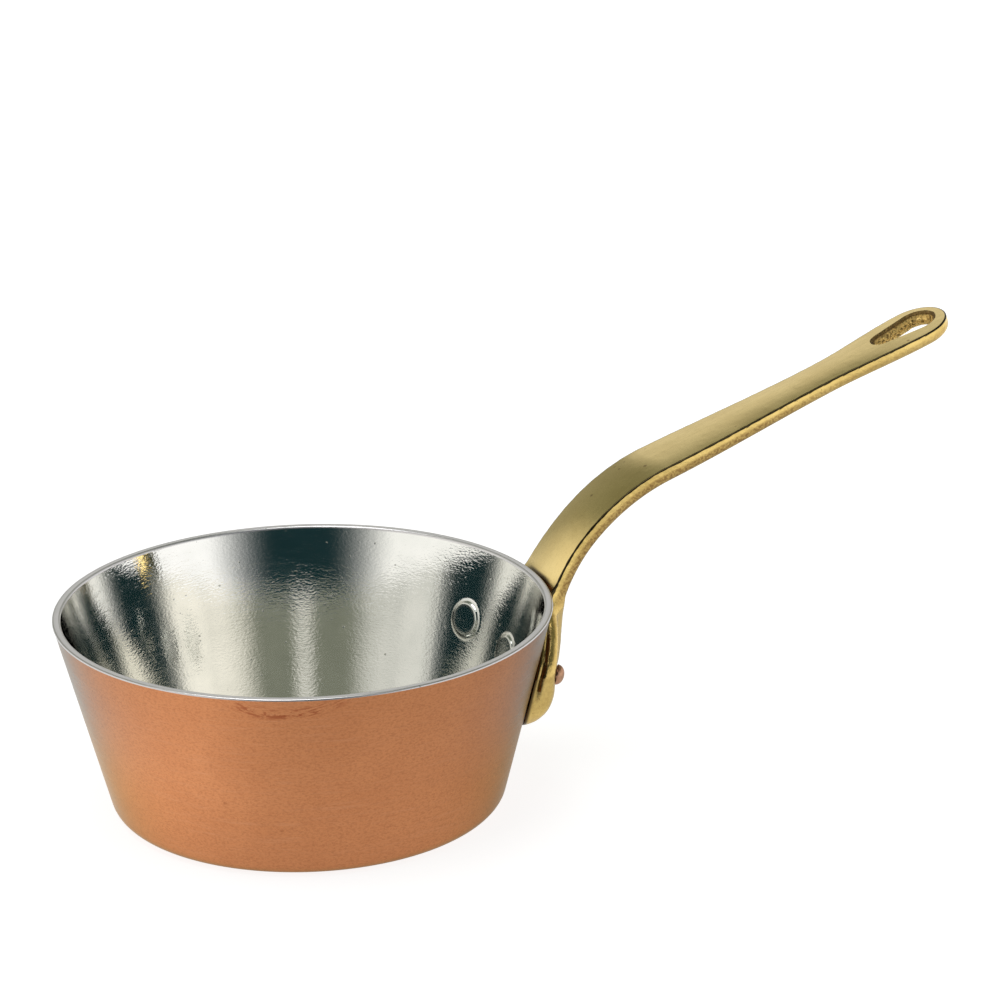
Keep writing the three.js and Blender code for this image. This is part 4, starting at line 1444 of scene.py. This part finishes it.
def bright_sides(tree, back, right, height):
    """How much a direction shows the room's bright sides, which leave the middle of the front dark."""
    side = math_node(tree, "ABSOLUTE", right)
    wider = math_node(tree, "ADD", side, SIDES_WIDER)
    narrowed = math_node(tree, "MULTIPLY_ADD", height, SIDES_NARROWING, wider)
    beside = larger(tree, map_range(tree, narrowed, SIDES_FADE), map_range(tree, back, SIDES_FORWARD))
    beside = times(tree, beside, map_range(tree, height, SIDES_TOP))
    level = math_node(tree, "MULTIPLY_ADD", back, back, math_node(tree, "POWER", side, 2.0))
    turned_back = math_node(tree, "DIVIDE", back, math_node(tree, "SQRT", level))
    return times(tree, beside, map_range(tree, turned_back, DARK_GAP))


def side_colour(tree, right, height):
    """The colour of the bright sides, from low to high and from left to right."""
    high = map_range(tree, height, SIDES_HEIGHTS)
    left_side = mix_colour(tree, high, LEFT_LOW, LEFT_HIGH)
    right_side = mix_colour(tree, high, RIGHT_LOW, RIGHT_HIGH)
    return mix_colour(tree, map_range(tree, right, LEFT_TO_RIGHT), left_side, right_side)


def add_world():
    """A dim room with bright sides up to half its height, and a bright spot on the wall behind."""
    world = bpy.data.worlds.new("studio")
    bpy.context.scene.world = world
    world.use_nodes = True
    tree = world.node_tree
    tree.nodes.clear()
    direction = add_node(tree, "ShaderNodeTexCoord").outputs["Generated"]
    back = towards(tree, direction, studio_place(0, 1, 0))
    right = towards(tree, direction, studio_place(1, 0, 0))
    height = height_of(tree, direction)
    colour = room_walls(tree, back, height)
    bright = side_colour(tree, right, height)
    colour = mix_colour(tree, bright_sides(tree, back, right, height), colour, bright)
    spot = towards(tree, direction, studio_place(0, math.cos(SPOT_HEIGHT), math.sin(SPOT_HEIGHT)))
    colour = mix_colour(tree, map_range(tree, spot, SPOT_FADE, to=(0.0, SPOT_SHARE)), colour, SPOT_COLOUR)
    glow = add_node(tree, "ShaderNodeBackground", {"Color": colour, "Strength": 1.0})
    add_node(tree, "ShaderNodeOutputWorld", {"Surface": glow.outputs[0]})


def add_main_light():
    """A large square lamp, nearly overhead, that faces the pan; the room's bright sides are the rest."""
    lamp = bpy.data.lights.new("main_light", "AREA")
    lamp.size = LAMP_SIZE
    lamp.energy = LAMP_BRIGHTNESS * math.pi * LAMP_SIZE**2
    light = bpy.data.objects.new("main_light", lamp)
    light.location = studio_place(*LAMP_PLACE)
    aim = Vector(LAMP_AIM) - light.location
    light.rotation_euler = aim.to_track_quat("-Z", "Y").to_euler()
    bpy.context.scene.collection.objects.link(light)


def dress_up():
    """Makes each piece and puts it in place of the CAD node it stands for."""
    turned = turned_tree()
    copper = make_copper_body(turned, copper_finish())
    tin = make_tin_lining(tin_finish())
    rivets = make_rivets(turned, rivet_tree(), rivet_finish())
    handle = make_brass_handle([polished_brass_finish(), cast_brass_finish(), hole_brass_finish()])
    dressed = [
        (copper, "copper", ["copper_body"]),
        (tin, "tin", ["tin_lining"]),
        (rivets, "rivet_copper", ["rivet_left", "rivet_centre", "rivet_right"]),
        (handle, "brass", ["brass_handle"]),
    ]
    for piece, slot, nodes in dressed:
        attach(piece, "root")
        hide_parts(*nodes)


bpy.context.scene.view_settings.view_transform = "Standard"
add_camera()
add_floor()
add_world()
add_main_light()
dress_up()
